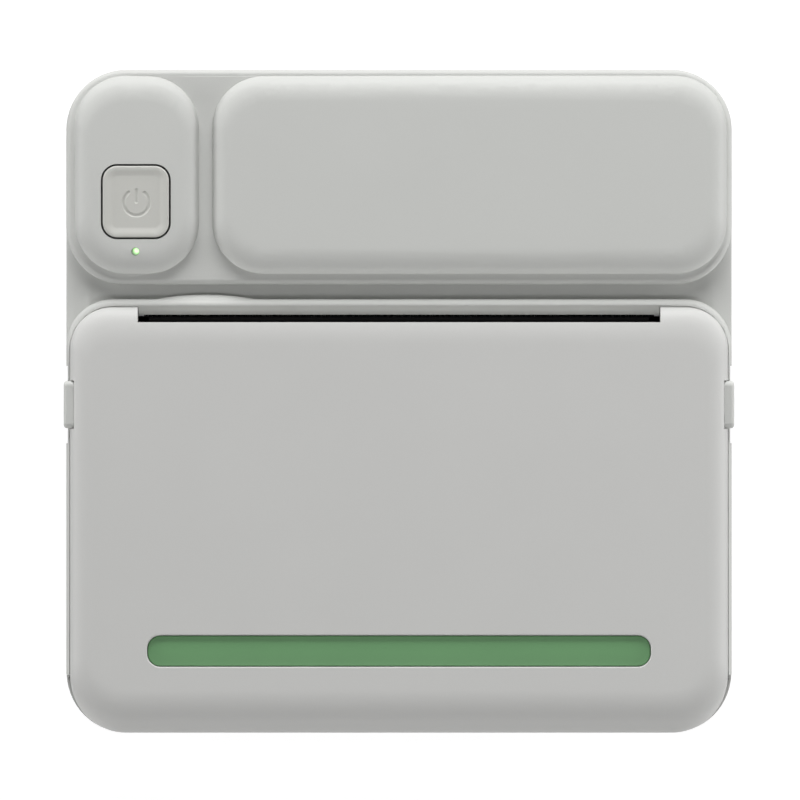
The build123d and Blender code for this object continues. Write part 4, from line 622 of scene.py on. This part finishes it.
def surface_group():
    """Fine marks and slow clouds that change a surface's colour, gloss and height."""
    tree = bpy.data.node_groups.new("Moulded or brushed surface", "ShaderNodeTree")
    for label, kind, default in (
        ("Vector", "Vector", (0, 0, 0)),
        ("Colour", "Color", (0.5, 0.5, 0.5, 1)),
        ("Roughness", "Float", 0.45),
        ("Stretch", "Vector", (1, 1, 1)),
        ("Fine scale", "Float", 3200.0),
        ("Fine detail", "Float", 3.0),
        ("Fine shade", "Float", 0.05),
        ("Fine gloss", "Float", 0.22),
        ("Slow scale", "Float", 55.0),
        ("Slow shade", "Float", 0.03),
        ("Slow gloss", "Float", 0.1),
    ):
        add_socket(tree, label, kind).default_value = default
    for label, kind in (("Colour", "Color"), ("Roughness", "Float"), ("Height", "Float")):
        add_socket(tree, label, kind, "OUTPUT")
    given = tree.nodes.new("NodeGroupInput").outputs
    out = tree.nodes.new("NodeGroupOutput").inputs
    stretched = tree.nodes.new("ShaderNodeVectorMath")
    stretched.operation = "MULTIPLY"
    tree.links.new(given["Vector"], stretched.inputs[0])
    tree.links.new(given["Stretch"], stretched.inputs[1])
    fine = noise_node(tree, stretched.outputs[0], given["Fine scale"], given["Fine detail"], 0.6)
    slow = noise_node(tree, given["Vector"], given["Slow scale"])
    clouded = shade_colour(tree, given["Colour"], slow, given["Slow shade"])
    rough = swing(tree, slow, given["Slow gloss"], given["Roughness"])
    tree.links.new(shade_colour(tree, clouded, fine, given["Fine shade"]), out["Colour"])
    tree.links.new(swing(tree, fine, given["Fine gloss"], rough), out["Roughness"])
    tree.links.new(fine, out["Height"])
    return tree


def blank_material(name):
    """Material with its Principled shader and Object coordinates; gives all four."""
    material = bpy.data.materials.new(name)
    material.use_nodes = True
    tree = material.node_tree
    shader = tree.nodes["Principled BSDF"]
    place = tree.nodes.new("ShaderNodeTexCoord").outputs["Object"]
    return material, tree, shader, place


def surface_material(name, group, colour, bump, edge, **values):
    """Material with the surface group, its relief and softened edges; gives its shader."""
    material, tree, shader, place = blank_material(name)
    node = tree.nodes.new("ShaderNodeGroup")
    node.node_tree = group
    tree.links.new(place, node.inputs["Vector"])
    node.inputs["Colour"].default_value = (*colour, 1.0)
    for label, value in values.items():
        node.inputs[label.replace("_", " ")].default_value = value
    tree.links.new(node.outputs["Colour"], shader.inputs["Base Color"])
    tree.links.new(node.outputs["Roughness"], shader.inputs["Roughness"])
    relief = tree.nodes.new("ShaderNodeBump")
    relief.inputs["Strength"].default_value = 1.0
    relief.inputs["Distance"].default_value = bump
    tree.links.new(node.outputs["Height"], relief.inputs["Height"])
    softened = tree.nodes.new("ShaderNodeBevel")
    softened.samples = 6
    softened.inputs["Radius"].default_value = edge
    tree.links.new(softened.outputs["Normal"], relief.inputs["Normal"])
    tree.links.new(relief.outputs["Normal"], shader.inputs["Normal"])
    MATERIALS[name] = material
    return shader


def plastic(
    name, group, colour, roughness, grain=3200.0, bump=6e-6, edge=0.00012, cloud=0.03, specular=0.5, coat=0.0
):
    """Moulded plastic, rubber, film or glaze with its grain."""
    shader = surface_material(
        name, group, colour, bump, edge, Roughness=roughness, Fine_scale=grain, Slow_shade=cloud,
    )
    shader.inputs["Specular IOR Level"].default_value = specular
    if coat:
        shader.inputs["Coat Weight"].default_value = coat
        shader.inputs["Coat Roughness"].default_value = 0.18


def metal(name, group, colour, roughness, stretch):
    """Metal with the lines of its making, long where stretch is small, and faint smudges."""
    shader = surface_material(
        name, group, colour, bump=2e-6, edge=0.0001, Roughness=roughness, Stretch=stretch,
        Fine_scale=2400.0, Fine_detail=2.0, Fine_shade=0.14, Fine_gloss=0.2,
        Slow_scale=160.0, Slow_shade=0.1, Slow_gloss=0.25,
    )
    shader.inputs["Metallic"].default_value = 1.0


def lens_material(name, colour, glow):
    """Lit lens: palest near one side, and dark green far from there."""
    material, tree, shader, place = blank_material(name)
    # The bright spot, towards the head and the right from the middle of the lens
    spot = (LAMP_BOX[0] + LAMP_BOX[1]) / 2 + Vector((0.00035, 0.0003, 0))
    mapping = tree.nodes.new("ShaderNodeMapping")
    mapping.vector_type = "POINT"
    mapping.inputs["Location"].default_value = (-spot.x, -spot.y, -LAMP_BOX[1].z)
    tree.links.new(place, mapping.inputs["Vector"])
    far = tree.nodes.new("ShaderNodeVectorMath")
    far.operation = "LENGTH"
    tree.links.new(mapping.outputs["Vector"], far.inputs[0])
    ramp = tree.nodes.new("ShaderNodeValToRGB")
    # The ramp spans 1 / 700 of a metre
    tree.links.new(math_node(tree, "MULTIPLY", far.outputs["Value"], 700.0), ramp.inputs["Fac"])
    stops = ramp.color_ramp.elements
    stops[0].position = 0.3
    stops[0].color = (*colour, 1.0)
    stops[1].position = 0.72
    stops[1].color = (0.02, 0.06, 0.01, 1.0)
    stops.new(0.52).color = (0.22, 0.55, 0.12, 1.0)
    speck = noise_node(tree, place, 4000.0)
    tree.links.new(shade_colour(tree, ramp.outputs["Color"], speck, 0.08), shader.inputs["Emission Color"])
    shader.inputs["Emission Strength"].default_value = glow
    shader.inputs["Base Color"].default_value = (0.3, 0.42, 0.28, 1.0)
    shader.inputs["Roughness"].default_value = 0.15
    MATERIALS[name] = material


def make_materials(colours, glow):
    """Every finish of the printer, by the name of its slot."""
    surface = surface_group()
    plastic("case_plastic", surface, colours.case, 0.52, specular=0.3)
    plastic("cover_plastic", surface, colours.cover, 0.5, specular=0.3)
    plastic("button_plastic", surface, colours.button, 0.48, specular=0.3)
    plastic("green_plastic", surface, colours.green, 0.34, bump=3e-6, edge=0.00006, cloud=0.05)
    plastic("liner_plastic", surface, colours.liner, 0.5, grain=2200.0, bump=9e-6)
    plastic("guide_plastic", surface, colours.guide, 0.42)
    plastic("gear_plastic", surface, colours.gear, 0.38, bump=2e-6, edge=0.00004)
    plastic("chip_plastic", surface, colours.chip, 0.55, grain=5200.0, bump=4e-6, edge=0.00005)
    plastic("pad_rubber", surface, colours.rubber, 0.78, 2600.0, 1.4e-5, cloud=0.2, specular=0.3)
    plastic("platen_rubber", surface, colours.platen, 0.7, 4200.0, 8e-6, cloud=0.15, specular=0.35)
    # The print head's near black colour is painted shade for the deep paper slot
    plastic("head_ceramic", surface, colours.ceramic_painted_shade, 0.35, bump=1e-6, edge=0.00005, specular=0.15)
    plastic("board_laminate", surface, colours.board, 0.36, 1400.0, 3e-6, edge=0.00004, cloud=0.2, coat=0.3)
    plastic("ribbon_film", surface, colours.ribbon, 0.3, bump=1e-6, edge=0.00004, cloud=0.12, coat=0.4)
    plastic("pack_wrap", surface, colours.wrap, 0.3, 700.0, 1.2e-5, edge=0.0002, cloud=0.1, coat=0.3)
    # The tear bar's near black colour is painted shade for the deep paper slot
    plastic("blade_steel", surface, colours.blade_painted_shade, 0.6, grain=5000.0, bump=2e-6, specular=0.1)
    metal("screw_steel", surface, colours.steel, 0.34, (1.0, 1.0, 0.05))
    metal("shaft_steel", surface, colours.steel, 0.22, (1.0, 0.08, 0.08))
    metal("frame_steel", surface, colours.steel, 0.36, (0.05, 1.0, 1.0))
    metal("spring_steel", surface, colours.steel, 0.28, (1.0, 1.0, 1.0))
    metal("sink_aluminium", surface, colours.aluminium, 0.36, (0.03, 1.0, 1.0))
    metal("pinion_brass", surface, colours.brass, 0.28, (0.06, 1.0, 1.0))
    metal("port_steel", surface, colours.steel, 0.3, (0.05, 1.0, 1.0))
    lens_material("pipe_clear", colours.lamp, glow)
    lens_material("lamp_body", colours.lamp, glow)


# Pieces


def smooth_copy(node, name, body):
    """Makes a smooth copy of a CAD node's mesh, in the plastic of the case."""
    finish_piece(smooth(merged_copy(node, name)), body, "case_plastic", node)


class PRINTER_OT_finish_nodes(Operator):
    """Gives every CAD piece the finish of its slot"""

    bl_idname = "printer.finish_nodes"
    bl_label = "Finish Inner Pieces"

    def execute(self, context):
        make_materials(context.scene.printer_colours, context.scene.printer_lamp.glow)
        for part in frame["record"]["subparts"]:
            node = frame["nodes"][part["node"]]
            node.data.materials.clear()
            node.data.materials.append(MATERIALS[part["material_slot"]])
        return {"FINISHED"}


class PRINTER_OT_make_housings(Operator):
    """Makes the front and rear halves of the case with smooth, softened surfaces"""

    bl_idname = "printer.make_housings"
    bl_label = "Case Halves"

    def execute(self, context):
        for node in ("front_housing", "rear_housing"):
            smooth_copy(node, node + "_shell", "base")
        return {"FINISHED"}


def roll_draw(z, face_z, height, width, inset):
    """How far a rolled edge has drawn in at height z."""
    t = min(1.0, max(0.0, (z - face_z + height) / (height - inset)))
    return inset + (width - inset) * (1 - math.sqrt(1 - t * t))


def crown(sizes, name, inset, low):
    """Crowned solid of the cover from a low height up to its face, drawn in by inset."""
    rings = []
    start = sizes.face_z - sizes.hinge_drop
    high = sizes.face_z - sizes.edge_drop
    rise = sizes.edge_drop - inset
    count = HINGE_RINGS
    heights = [low] + [start + (high - start) * i / count for i in range(count)]
    heights += [high + rise * s for s, c in quarter(range(sizes.rings + 1), sizes.rings)]
    for z in heights:
        side = roll_draw(z, sizes.face_z, sizes.edge_drop, sizes.side_roll, inset)
        hinge = roll_draw(z, sizes.face_z, sizes.hinge_drop, sizes.hinge_roll, inset)
        head = roll_draw(z, sizes.face_z, sizes.edge_drop, sizes.head_roll, inset)
        rings.append(ring(
            sizes.half_width - side, -sizes.hinge_y + hinge, sizes.head_y - head,
            sizes.hinge_corner - side, sizes.head_corner - side, z, sizes.corner_steps,
        ))
    return stack(name, rings)


def strip_ring(z, inset=0.0):
    """Outline of the green strip at height z, drawn in by inset."""
    scene = bpy.context.scene
    size = STRIP_BOX[1] - STRIP_BOX[0]
    corner = scene.printer_strip.corner
    return plate_ring(STRIP_BOX, size.x, size.y, corner, z, scene.printer_cover.corner_steps, inset)


class PRINTER_OT_make_cover(Operator):
    """Makes the roll cover with its rolled edges, slot notch, strip pocket, tab windows and hinge skirt"""

    bl_idname = "printer.make_cover"
    bl_label = "Roll Cover"

    def execute(self, context):
        sizes = context.scene.printer_cover
        wall = sizes.thickness
        shell = crown(sizes, "roll_cover_skin", 0.0, sizes.skirt_z)
        inner = crown(sizes, "inner", wall, sizes.skirt_z - PAST)
        grown = sizes.slot_half + wall
        notch_wall = block("notch_wall", (-grown, sizes.slot_y - wall, 0), (grown, FAR, FAR))
        carve(inner, "DIFFERENCE", notch_wall)
        notch = block("notch", (-sizes.slot_half, sizes.slot_y, 0), (sizes.slot_half, FAR, FAR))
        carve(shell, "DIFFERENCE", notch, inner)
        carve(shell, "UNION", self.skirt(sizes))
        backing = stack("backing", [
            strip_ring(z, -sizes.backing)
            for z in (STRIP_BOX[0].z - sizes.backing_drop, sizes.face_z - wall + BACKING_LAP)
        ])
        carve(shell, "UNION", backing)
        carve(shell, "DIFFERENCE", self.pocket(sizes))
        for side in (-1, 1):
            carve(shell, "DIFFERENCE", self.window(context.scene.printer_tabs, side))
        join(shell, self.ribs(sizes))
        smooth(shell)
        finish_piece(shell, "cover", "cover_plastic", "roll_cover")
        return {"FINISHED"}

    def skirt(self, sizes):
        """Skirt at the hinge edge with the hollow hinge barrel and its pin holes."""
        half = sizes.skirt_half
        hinge_y = COVER_BOX[0].y + sizes.barrel
        hinge_z = COVER_BOX[0].z + sizes.barrel
        # Well below the barrel, so that the inside is cut right through
        inner_z = 0.02
        skirt = crown(sizes, "skirt", 0.0, hinge_z)
        keep = block("skirt_keep", (-half, -FAR, 0), (half, hinge_y, sizes.skirt_z + LAP))
        carve(skirt, "INTERSECT", keep)
        carve(skirt, "DIFFERENCE", crown(sizes, "inner_skirt", sizes.thickness, inner_z))
        cheek = half - sizes.cheek
        carve(skirt, "UNION", rod_x("barrel", hinge_y, hinge_z, sizes.barrel, -half, half))
        bore = rod_x("bore", hinge_y, hinge_z, sizes.bore, -cheek, cheek)
        pin_hole = rod_x("pin_hole", hinge_y, hinge_z, sizes.pin_hole, -FAR, FAR)
        return carve(skirt, "DIFFERENCE", bore, pin_hole)

    def pocket(self, sizes):
        """Cutting tool for the strip's pocket, flared where its edge is rounded."""
        edge = sizes.pocket_edge
        flare = [(STRIP_BOX[0].z, 0.0)]
        for s, c in quarter(range(EDGE_STEPS + 1), EDGE_STEPS):
            flare.append((sizes.face_z - edge * (1 - s), edge * (1 - c)))
        flare.append((FAR, edge))
        return stack("pocket", [strip_ring(z, -sizes.pocket_gap - out) for z, out in flare])

    def window(self, tabs, side):
        """Cutting tool for a release tab's window, on the left for -1 and on the right for 1."""
        low, high = TAB_BOX
        trim = tabs.wing - tabs.gap
        window = block(
            "window", (high.x - tabs.reach, low.y + trim, high.z - tabs.height - tabs.gap),
            (FAR, high.y - trim, high.z + tabs.gap),
        )
        if side < 0:
            window.data.transform(Matrix.Scale(-1, 4, (1, 0, 0)))
            face_outwards(window)
        return window

    def ribs(self, sizes):
        """Bosses for the screws of the platen's carrier, and the rails and posts of the release tabs."""
        under = sizes.face_z - sizes.thickness + LAP
        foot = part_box("platen_carrier")[1].z
        parts = []
        for low, high in islands("carrier_screws"):
            centre = (low + high) / 2
            profile = [(BOSS_R, foot), (BOSS_R, under)]
            parts.append(stack("boss", lathe(profile, LATHE_STEPS, centre.x, centre.y)))
        low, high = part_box("tab_spring_right")
        y = (low.y + high.y) / 2
        bars = [(low.x - POST_DEPTH, low.x, y, POST_HALF, low.z - POST_DROP)]
        for end in (-1, 1):
            rail_y = y + end * RAIL_PLACE
            rail_z = low.z + RAIL_LIFT
            bars.append((high.x - RAIL_BACK, high.x + RAIL_FRONT, rail_y, RAIL_HALF, rail_z))
        for side in (-1, 1):
            for x0, x1, middle, half, z in bars:
                near, far = sorted((side * x0, side * x1))
                parts.append(block("rail", (near, middle - half, z), (far, middle + half, under)))
        return parts


class PRINTER_OT_make_strip(Operator):
    """Makes the green strip with its rounded edge"""

    bl_idname = "printer.make_strip"
    bl_label = "Green Strip"

    def execute(self, context):
        strip = context.scene.printer_strip
        low, high = STRIP_BOX
        half = (high.y - low.y) / 2 - strip.edge
        rings = [strip_ring(low.z)]
        for s, c in quarter(range(EDGE_STEPS + 1), EDGE_STEPS):
            rings.append(strip_ring(high.z - strip.crown - strip.edge * (1 - s), strip.edge * (1 - c)))
        # The last ring stops a little short of the strip's middle line
        reach = 0.96
        for i in range(1, STRIP_STEPS + 1):
            share = i / STRIP_STEPS
            z = high.z - strip.crown * (1 - share) ** 2
            rings.append(strip_ring(z, strip.edge + share * half * reach))
        piece = smooth(stack("accent_strip_skin", rings))
        finish_piece(piece, "cover", "green_plastic", "accent_strip")
        return {"FINISHED"}


class PRINTER_OT_make_button(Operator):
    """Makes the power button's dished cap with its engraved mark"""

    bl_idname = "printer.make_button"
    bl_label = "Power Button"

    def execute(self, context):
        sizes = context.scene.printer_button
        low, high = BUTTON_BOX
        cap = self.cap(sizes)
        carve(cap, "DIFFERENCE", *self.mark(sizes))
        smooth(cap, 40.0)
        finish_piece(cap, "button", "button_plastic")
        lower = merged_copy("power_button", "power_button_foot")
        cut_z = high.z - sizes.height + LAP
        keep = block(
            "below", (low.x - PAST, low.y - PAST, low.z - PAST), (high.x + PAST, high.y + PAST, cut_z)
        )
        carve(lower, "INTERSECT", keep)
        smooth(lower)
        finish_piece(lower, "button", "button_plastic", "power_button")
        return {"FINISHED"}

    def cap(self, sizes):
        """Cap with a rounded edge, a flat rim and a shallow dish."""
        top = BUTTON_BOX[1].z
        rim = sizes.edge + sizes.rim
        levels = [(top - sizes.height, 0.0)]
        for s, c in quarter(range(CAP_STEPS + 1), CAP_STEPS):
            levels.append((top - sizes.edge * (1 - s), sizes.edge * (1 - c)))
        levels.append((top, rim))
        for i in range(1, DISH_STEPS + 1):
            share = i / DISH_STEPS
            ease = share * share * (3 - 2 * share)
            levels.append((top - sizes.dish * ease, rim + sizes.slope * share))
        return stack("power_button_cap", [
            plate_ring(BUTTON_BOX, sizes.width, sizes.depth, sizes.corner, z, sizes.corner_steps, inset)
            for z, inset in levels
        ])

    def mark(self, sizes):
        """Round tools for the open ring and the bar of the power mark."""
        low, high = BUTTON_BOX
        middle = (low + high) / 2 + Vector((sizes.mark_x, -sizes.mark_y, 0))
        middle.z = high.z - sizes.dish + sizes.mark_lift
        radius = math.hypot(sizes.mark_stroke / 2, sizes.mark_lift)
        first = math.pi / 2 + sizes.mark_opening
        sweep = 2 * math.pi - 2 * sizes.mark_opening
        turns = [first + sweep * i / MARK_STEPS for i in range(MARK_STEPS + 1)]
        arc = [middle + sizes.mark_radius * Vector((math.cos(turn), math.sin(turn), 0)) for turn in turns]
        bar = [
            middle + Vector((0, sizes.mark_stroke / 4 + sizes.mark_bar * i / BAR_STEPS, 0))
            for i in range(BAR_STEPS + 1)
        ]
        return tube_path("arc", arc, radius), tube_path("bar", bar, radius)


class PRINTER_OT_make_lamp(Operator):
    """Makes the status lamp's lit lens on its light pipe"""

    bl_idname = "printer.make_lamp"
    bl_label = "Status Lamp"

    def execute(self, context):
        sizes = context.scene.printer_lamp
        low, high = LAMP_BOX
        profile = [(sizes.radius, low.z), (sizes.radius, high.z - sizes.dome)]
        # The last ring stops short of the pole, which a flat face closes
        for s, c in quarter(range(1, LENS_RINGS + 1), LENS_RINGS + 0.4):
            profile.append((sizes.radius * c, high.z - sizes.dome * (1 - s)))
        centre = (low + high) / 2
        piece = smooth(stack("light_pipe_lens", lathe(profile, LATHE_STEPS, centre.x, centre.y)), 50.0)
        finish_piece(piece, "base", "pipe_clear", "light_pipe")
        return {"FINISHED"}


class PRINTER_OT_make_tabs(Operator):
    """Makes the two release tabs with smooth finger faces"""

    bl_idname = "printer.make_tabs"
    bl_label = "Release Tabs"

    def execute(self, context):
        for side in ("left", "right"):
            node = "release_tab_" + side
            smooth_copy(node, node + "_skin", "tab_" + side)
        return {"FINISHED"}


class PRINTER_OT_make_feet(Operator):
    """Makes the four rubber feet, with rings in their treads, set on points"""

    bl_idname = "printer.make_feet"
    bl_label = "Feet"

    def execute(self, context):
        sizes = context.scene.printer_feet
        spots = islands("foot_pads")
        low, high = spots[0]
        radius = (high.x - low.x) / 2
        height = high.z - low.z
        tread = []
        steps = sizes.ridges * RIDGE_STEPS
        for i in range(steps + 1):
            share = i / steps
            wave = 0.5 - 0.5 * math.cos(2 * math.pi * sizes.ridges * share)
            # The grooves reach their full depth a quarter of the way out
            depth = sizes.ridge_depth * wave * min(1.0, 4 * share)
            tread.append((max((radius - sizes.edge) * share, FIRST_RING), depth))
        profile = tread + [(radius, sizes.edge), (radius, height)]
        foot = settle(smooth(stack("foot", lathe(profile, FOOT_STEPS)), 60.0))
        points = [((a.x + b.x) / 2, (a.y + b.y) / 2, a.z) for a, b in spots]
        piece = scatter("foot_pads_set", foot, points, MATERIALS["pad_rubber"])
        finish_piece(piece, "base", "pad_rubber", "foot_pads")
        return {"FINISHED"}


def screw_shape(sizes, head_r, head_h, shank_r, reach):
    """Domed screw with a cross in its head, its seat at the origin and its thread along +Z."""
    # The first ring of the dome stands a fifth of a step from its pole
    profile = [
        (head_r * s, -head_h * (1 - HEAD_DOME + HEAD_DOME * c))
        for s, c in quarter([i + 0.2 for i in range(DOME_RINGS)], DOME_RINGS - 0.8)
    ]
    profile += [(head_r, 0.0), (shank_r, 0.0)]
    turns = max(2, round(reach / sizes.pitch))
    for i in range(1, turns):
        z = reach * i / turns
        profile.append((shank_r * (1 - THREAD_DEPTH), z - reach / turns / 2))
        profile.append((shank_r, z))
    profile.append((shank_r * TIP, reach))
    shape = stack("screw", lathe(profile, SCREW_STEPS))
    half_w = head_r * CROSS_WIDTH / 2
    half_l = head_r * CROSS_LENGTH
    floor_z = head_h * (CROSS_DEPTH - 1)
    for x, y in ((half_w, half_l), (half_l, half_w)):
        carve(shape, "DIFFERENCE", block("slot", (-x, -y, -2 * head_h), (x, y, floor_z)))
    return settle(smooth(shape, 35.0))


class PRINTER_OT_make_screws(Operator):
    """Makes the cross headed screws of the case, the cover and the inner frame, set on points"""

    bl_idname = "printer.make_screws"
    bl_label = "Screws"

    def execute(self, context):
        sizes = context.scene.printer_screws
        down = (0.0, 0.0, 0.0)
        up = (math.pi, 0.0, 0.0)
        outward = (0.0, -math.pi / 2, 0.0)
        small = (sizes.small_head, sizes.small_shank)
        sets = [
            ("case_screws", "base", (sizes.case_head, sizes.case_shank), down),
            ("carrier_screws", "cover", small, down),
            ("board_screws", "base", small, down),
            ("bay_screws", "base", small, up),
            ("frame_screws", "base", small, up),
            ("motor_screws", "base", small, outward),
        ]
        for node, body, (head_h, shank_r), turn in sets:
            spots = islands(node)
            low, high = spots[0]
            length_axis = 0 if turn == outward else 2
            reach = high[length_axis] - low[length_axis] - head_h
            seats = []
            for a, b in spots:
                seat = (a + b) / 2
                seat[length_axis] = a.z + head_h if turn == down else b[length_axis] - head_h
                seats.append(tuple(seat))
            shape = screw_shape(sizes, (high.y - low.y) / 2, head_h, shank_r, reach)
            piece = scatter(node + "_set", shape, seats, MATERIALS["screw_steel"], [turn] * len(seats))
            finish_piece(piece, body, "screw_steel", node)
        return {"FINISHED"}


# Stage


def aim(thing, target):
    """Turns an object's -Z axis towards a point."""
    thing.rotation_euler = (Vector(target) - thing.location).to_track_quat("-Z", "Y").to_euler()


def add_lamp(name, azimuth, elevation, strength, width, height, distance=1.0):
    """Soft rectangular lamp, its strength given as the brightness of a white card facing it."""
    lamp = bpy.data.lights.new(name, "AREA")
    lamp.shape = "RECTANGLE"
    lamp.size = width
    lamp.size_y = height
    lamp.energy = strength * math.pi ** 2 * distance ** 2
    thing = add_object(name, lamp)
    flat = distance * math.cos(elevation)
    thing.location = (flat * math.cos(azimuth), flat * math.sin(azimuth), distance * math.sin(elevation))
    # Every lamp looks at the middle of the printer's face
    aim(thing, (0, 0, 0.04))


class PRINTER_OT_set_stage(Operator):
    """Sets the pale floor, the soft lamps, the sky and the camera"""

    bl_idname = "printer.set_stage"
    bl_label = "Stage"

    def execute(self, context):
        stage = context.scene.printer_stage
        half = stage.floor_half
        corners = [(-half, -half, 0), (half, -half, 0), (half, half, 0), (-half, half, 0)]
        floor = add_piece("floor", corners, [(0, 1, 2, 3)])
        floor.data.materials.append(self.floor_material(stage))
        self.sky(context.scene, stage)
        head = math.radians(90)
        add_lamp("key_lamp", head, stage.key_elevation, stage.key, 0.9, 0.3)
        add_lamp("high_lamp", head, stage.high_elevation, stage.high, 0.9, 0.2)
        add_lamp("left_lamp", math.radians(180), stage.side_elevation, stage.left, 0.7, 0.3)
        add_lamp("right_lamp", 0.0, stage.side_elevation, stage.right, 0.35, 0.15, 0.5)
        add_lamp("hinge_lamp", -head, stage.hinge_elevation, stage.hinge, 0.9, 0.3)
        add_lamp("fill_lamp", -head, stage.fill_elevation, stage.fill, 0.6, 0.3)
        camera = bpy.data.cameras.new("camera")
        camera.lens = stage.focal
        camera.sensor_width = 36.0
        camera.clip_start = 0.01
        thing = add_object("camera", camera)
        thing.location = (stage.camera_x, stage.camera_y, stage.camera_height)
        context.scene.camera = thing
        context.scene.view_settings.view_transform = "Standard"
        return {"FINISHED"}

    def floor_material(self, stage):
        """Pale floor that reads white to the camera and in reflections, and still takes a shadow."""
        material, tree, shader, place = blank_material("floor_paper")
        cloud = noise_node(tree, place, 40.0)
        shader.inputs["Roughness"].default_value = 0.9
        base = tree.nodes.new("ShaderNodeRGB")
        base.outputs[0].default_value = (*[stage.floor_shade] * 3, 1.0)
        tree.links.new(shade_colour(tree, base.outputs[0], cloud, 0.02), shader.inputs["Base Color"])
        shader.inputs["Specular IOR Level"].default_value = 0.0
        glow = tree.nodes.new("ShaderNodeEmission")
        strength = math_node(tree, "MULTIPLY", self.seen(tree), stage.floor_glow)
        tree.links.new(strength, glow.inputs["Strength"])
        both = tree.nodes.new("ShaderNodeAddShader")
        tree.links.new(shader.outputs[0], both.inputs[0])
        tree.links.new(glow.outputs[0], both.inputs[1])
        tree.links.new(both.outputs[0], tree.nodes["Material Output"].inputs["Surface"])
        return material

    def seen(self, tree):
        """One for rays from the camera, from gloss and through glass, and nought for the rest."""
        path = tree.nodes.new("ShaderNodeLightPath")
        first = math_node(tree, "MAXIMUM", path.outputs["Is Camera Ray"], path.outputs["Is Glossy Ray"])
        return math_node(tree, "MAXIMUM", first, path.outputs["Is Transmission Ray"])

    def sky(self, scene, stage):
        """Even light from all round, seen as white."""
        world = bpy.data.worlds.new("sky")
        world.use_nodes = True
        scene.world = world
        tree = world.node_tree
        background = tree.nodes["Background"]
        background.inputs["Color"].default_value = (1.0, 1.0, 1.0, 1.0)
        strength = math_node(tree, "MULTIPLY_ADD", self.seen(tree), 1.0 - stage.sky, stage.sky)
        tree.links.new(strength, background.inputs["Strength"])


class PRINTER_PT_panel(Panel):
    """Sizes, colours and steps of the receipt printer"""

    bl_idname = "PRINTER_PT_panel"
    bl_label = "Receipt Printer"
    bl_space_type = "VIEW_3D"
    bl_region_type = "UI"
    bl_category = "Printer"

    def draw(self, context):
        layout = self.layout
        for title, owner, kind in GROUPS:
            box = layout.box()
            box.label(text=title)
            group = getattr(context.scene, owner)
            for key in kind.__annotations__:
                box.prop(group, key)
        for step in STEPS:
            layout.operator(step.bl_idname)


GROUPS = (
    ("Cover", "printer_cover", CoverSizes),
    ("Strip", "printer_strip", StripSizes),
    ("Button", "printer_button", ButtonSizes),
    ("Lamp", "printer_lamp", LampSizes),
    ("Tabs", "printer_tabs", TabSizes),
    ("Feet", "printer_feet", FootSizes),
    ("Screws", "printer_screws", ScrewSizes),
    ("Colours", "printer_colours", FinishColours),
    ("Stage", "printer_stage", StageSizes),
)
STEPS = (
    PRINTER_OT_finish_nodes,
    PRINTER_OT_make_housings,
    PRINTER_OT_make_cover,
    PRINTER_OT_make_strip,
    PRINTER_OT_make_button,
    PRINTER_OT_make_lamp,
    PRINTER_OT_make_tabs,
    PRINTER_OT_make_feet,
    PRINTER_OT_make_screws,
    PRINTER_OT_set_stage,
)


def register():
    """Adds the classes and the scene's groups of sizes."""
    for title, owner, kind in GROUPS:
        bpy.utils.register_class(kind)
        setattr(bpy.types.Scene, owner, PointerProperty(type=kind, name=title))
    for step in STEPS:
        bpy.utils.register_class(step)
    bpy.utils.register_class(PRINTER_PT_panel)


def unregister():
    """Takes away the classes and the scene's groups of sizes."""
    bpy.utils.unregister_class(PRINTER_PT_panel)
    for step in reversed(STEPS):
        bpy.utils.unregister_class(step)
    for title, owner, kind in GROUPS:
        delattr(bpy.types.Scene, owner)
        bpy.utils.unregister_class(kind)


def main():
    """Makes the printer and its stage."""
    register()
    for step in STEPS:
        family, call = step.bl_idname.split(".")
        getattr(getattr(bpy.ops, family), call)()


if __name__ == "__main__":
    main()
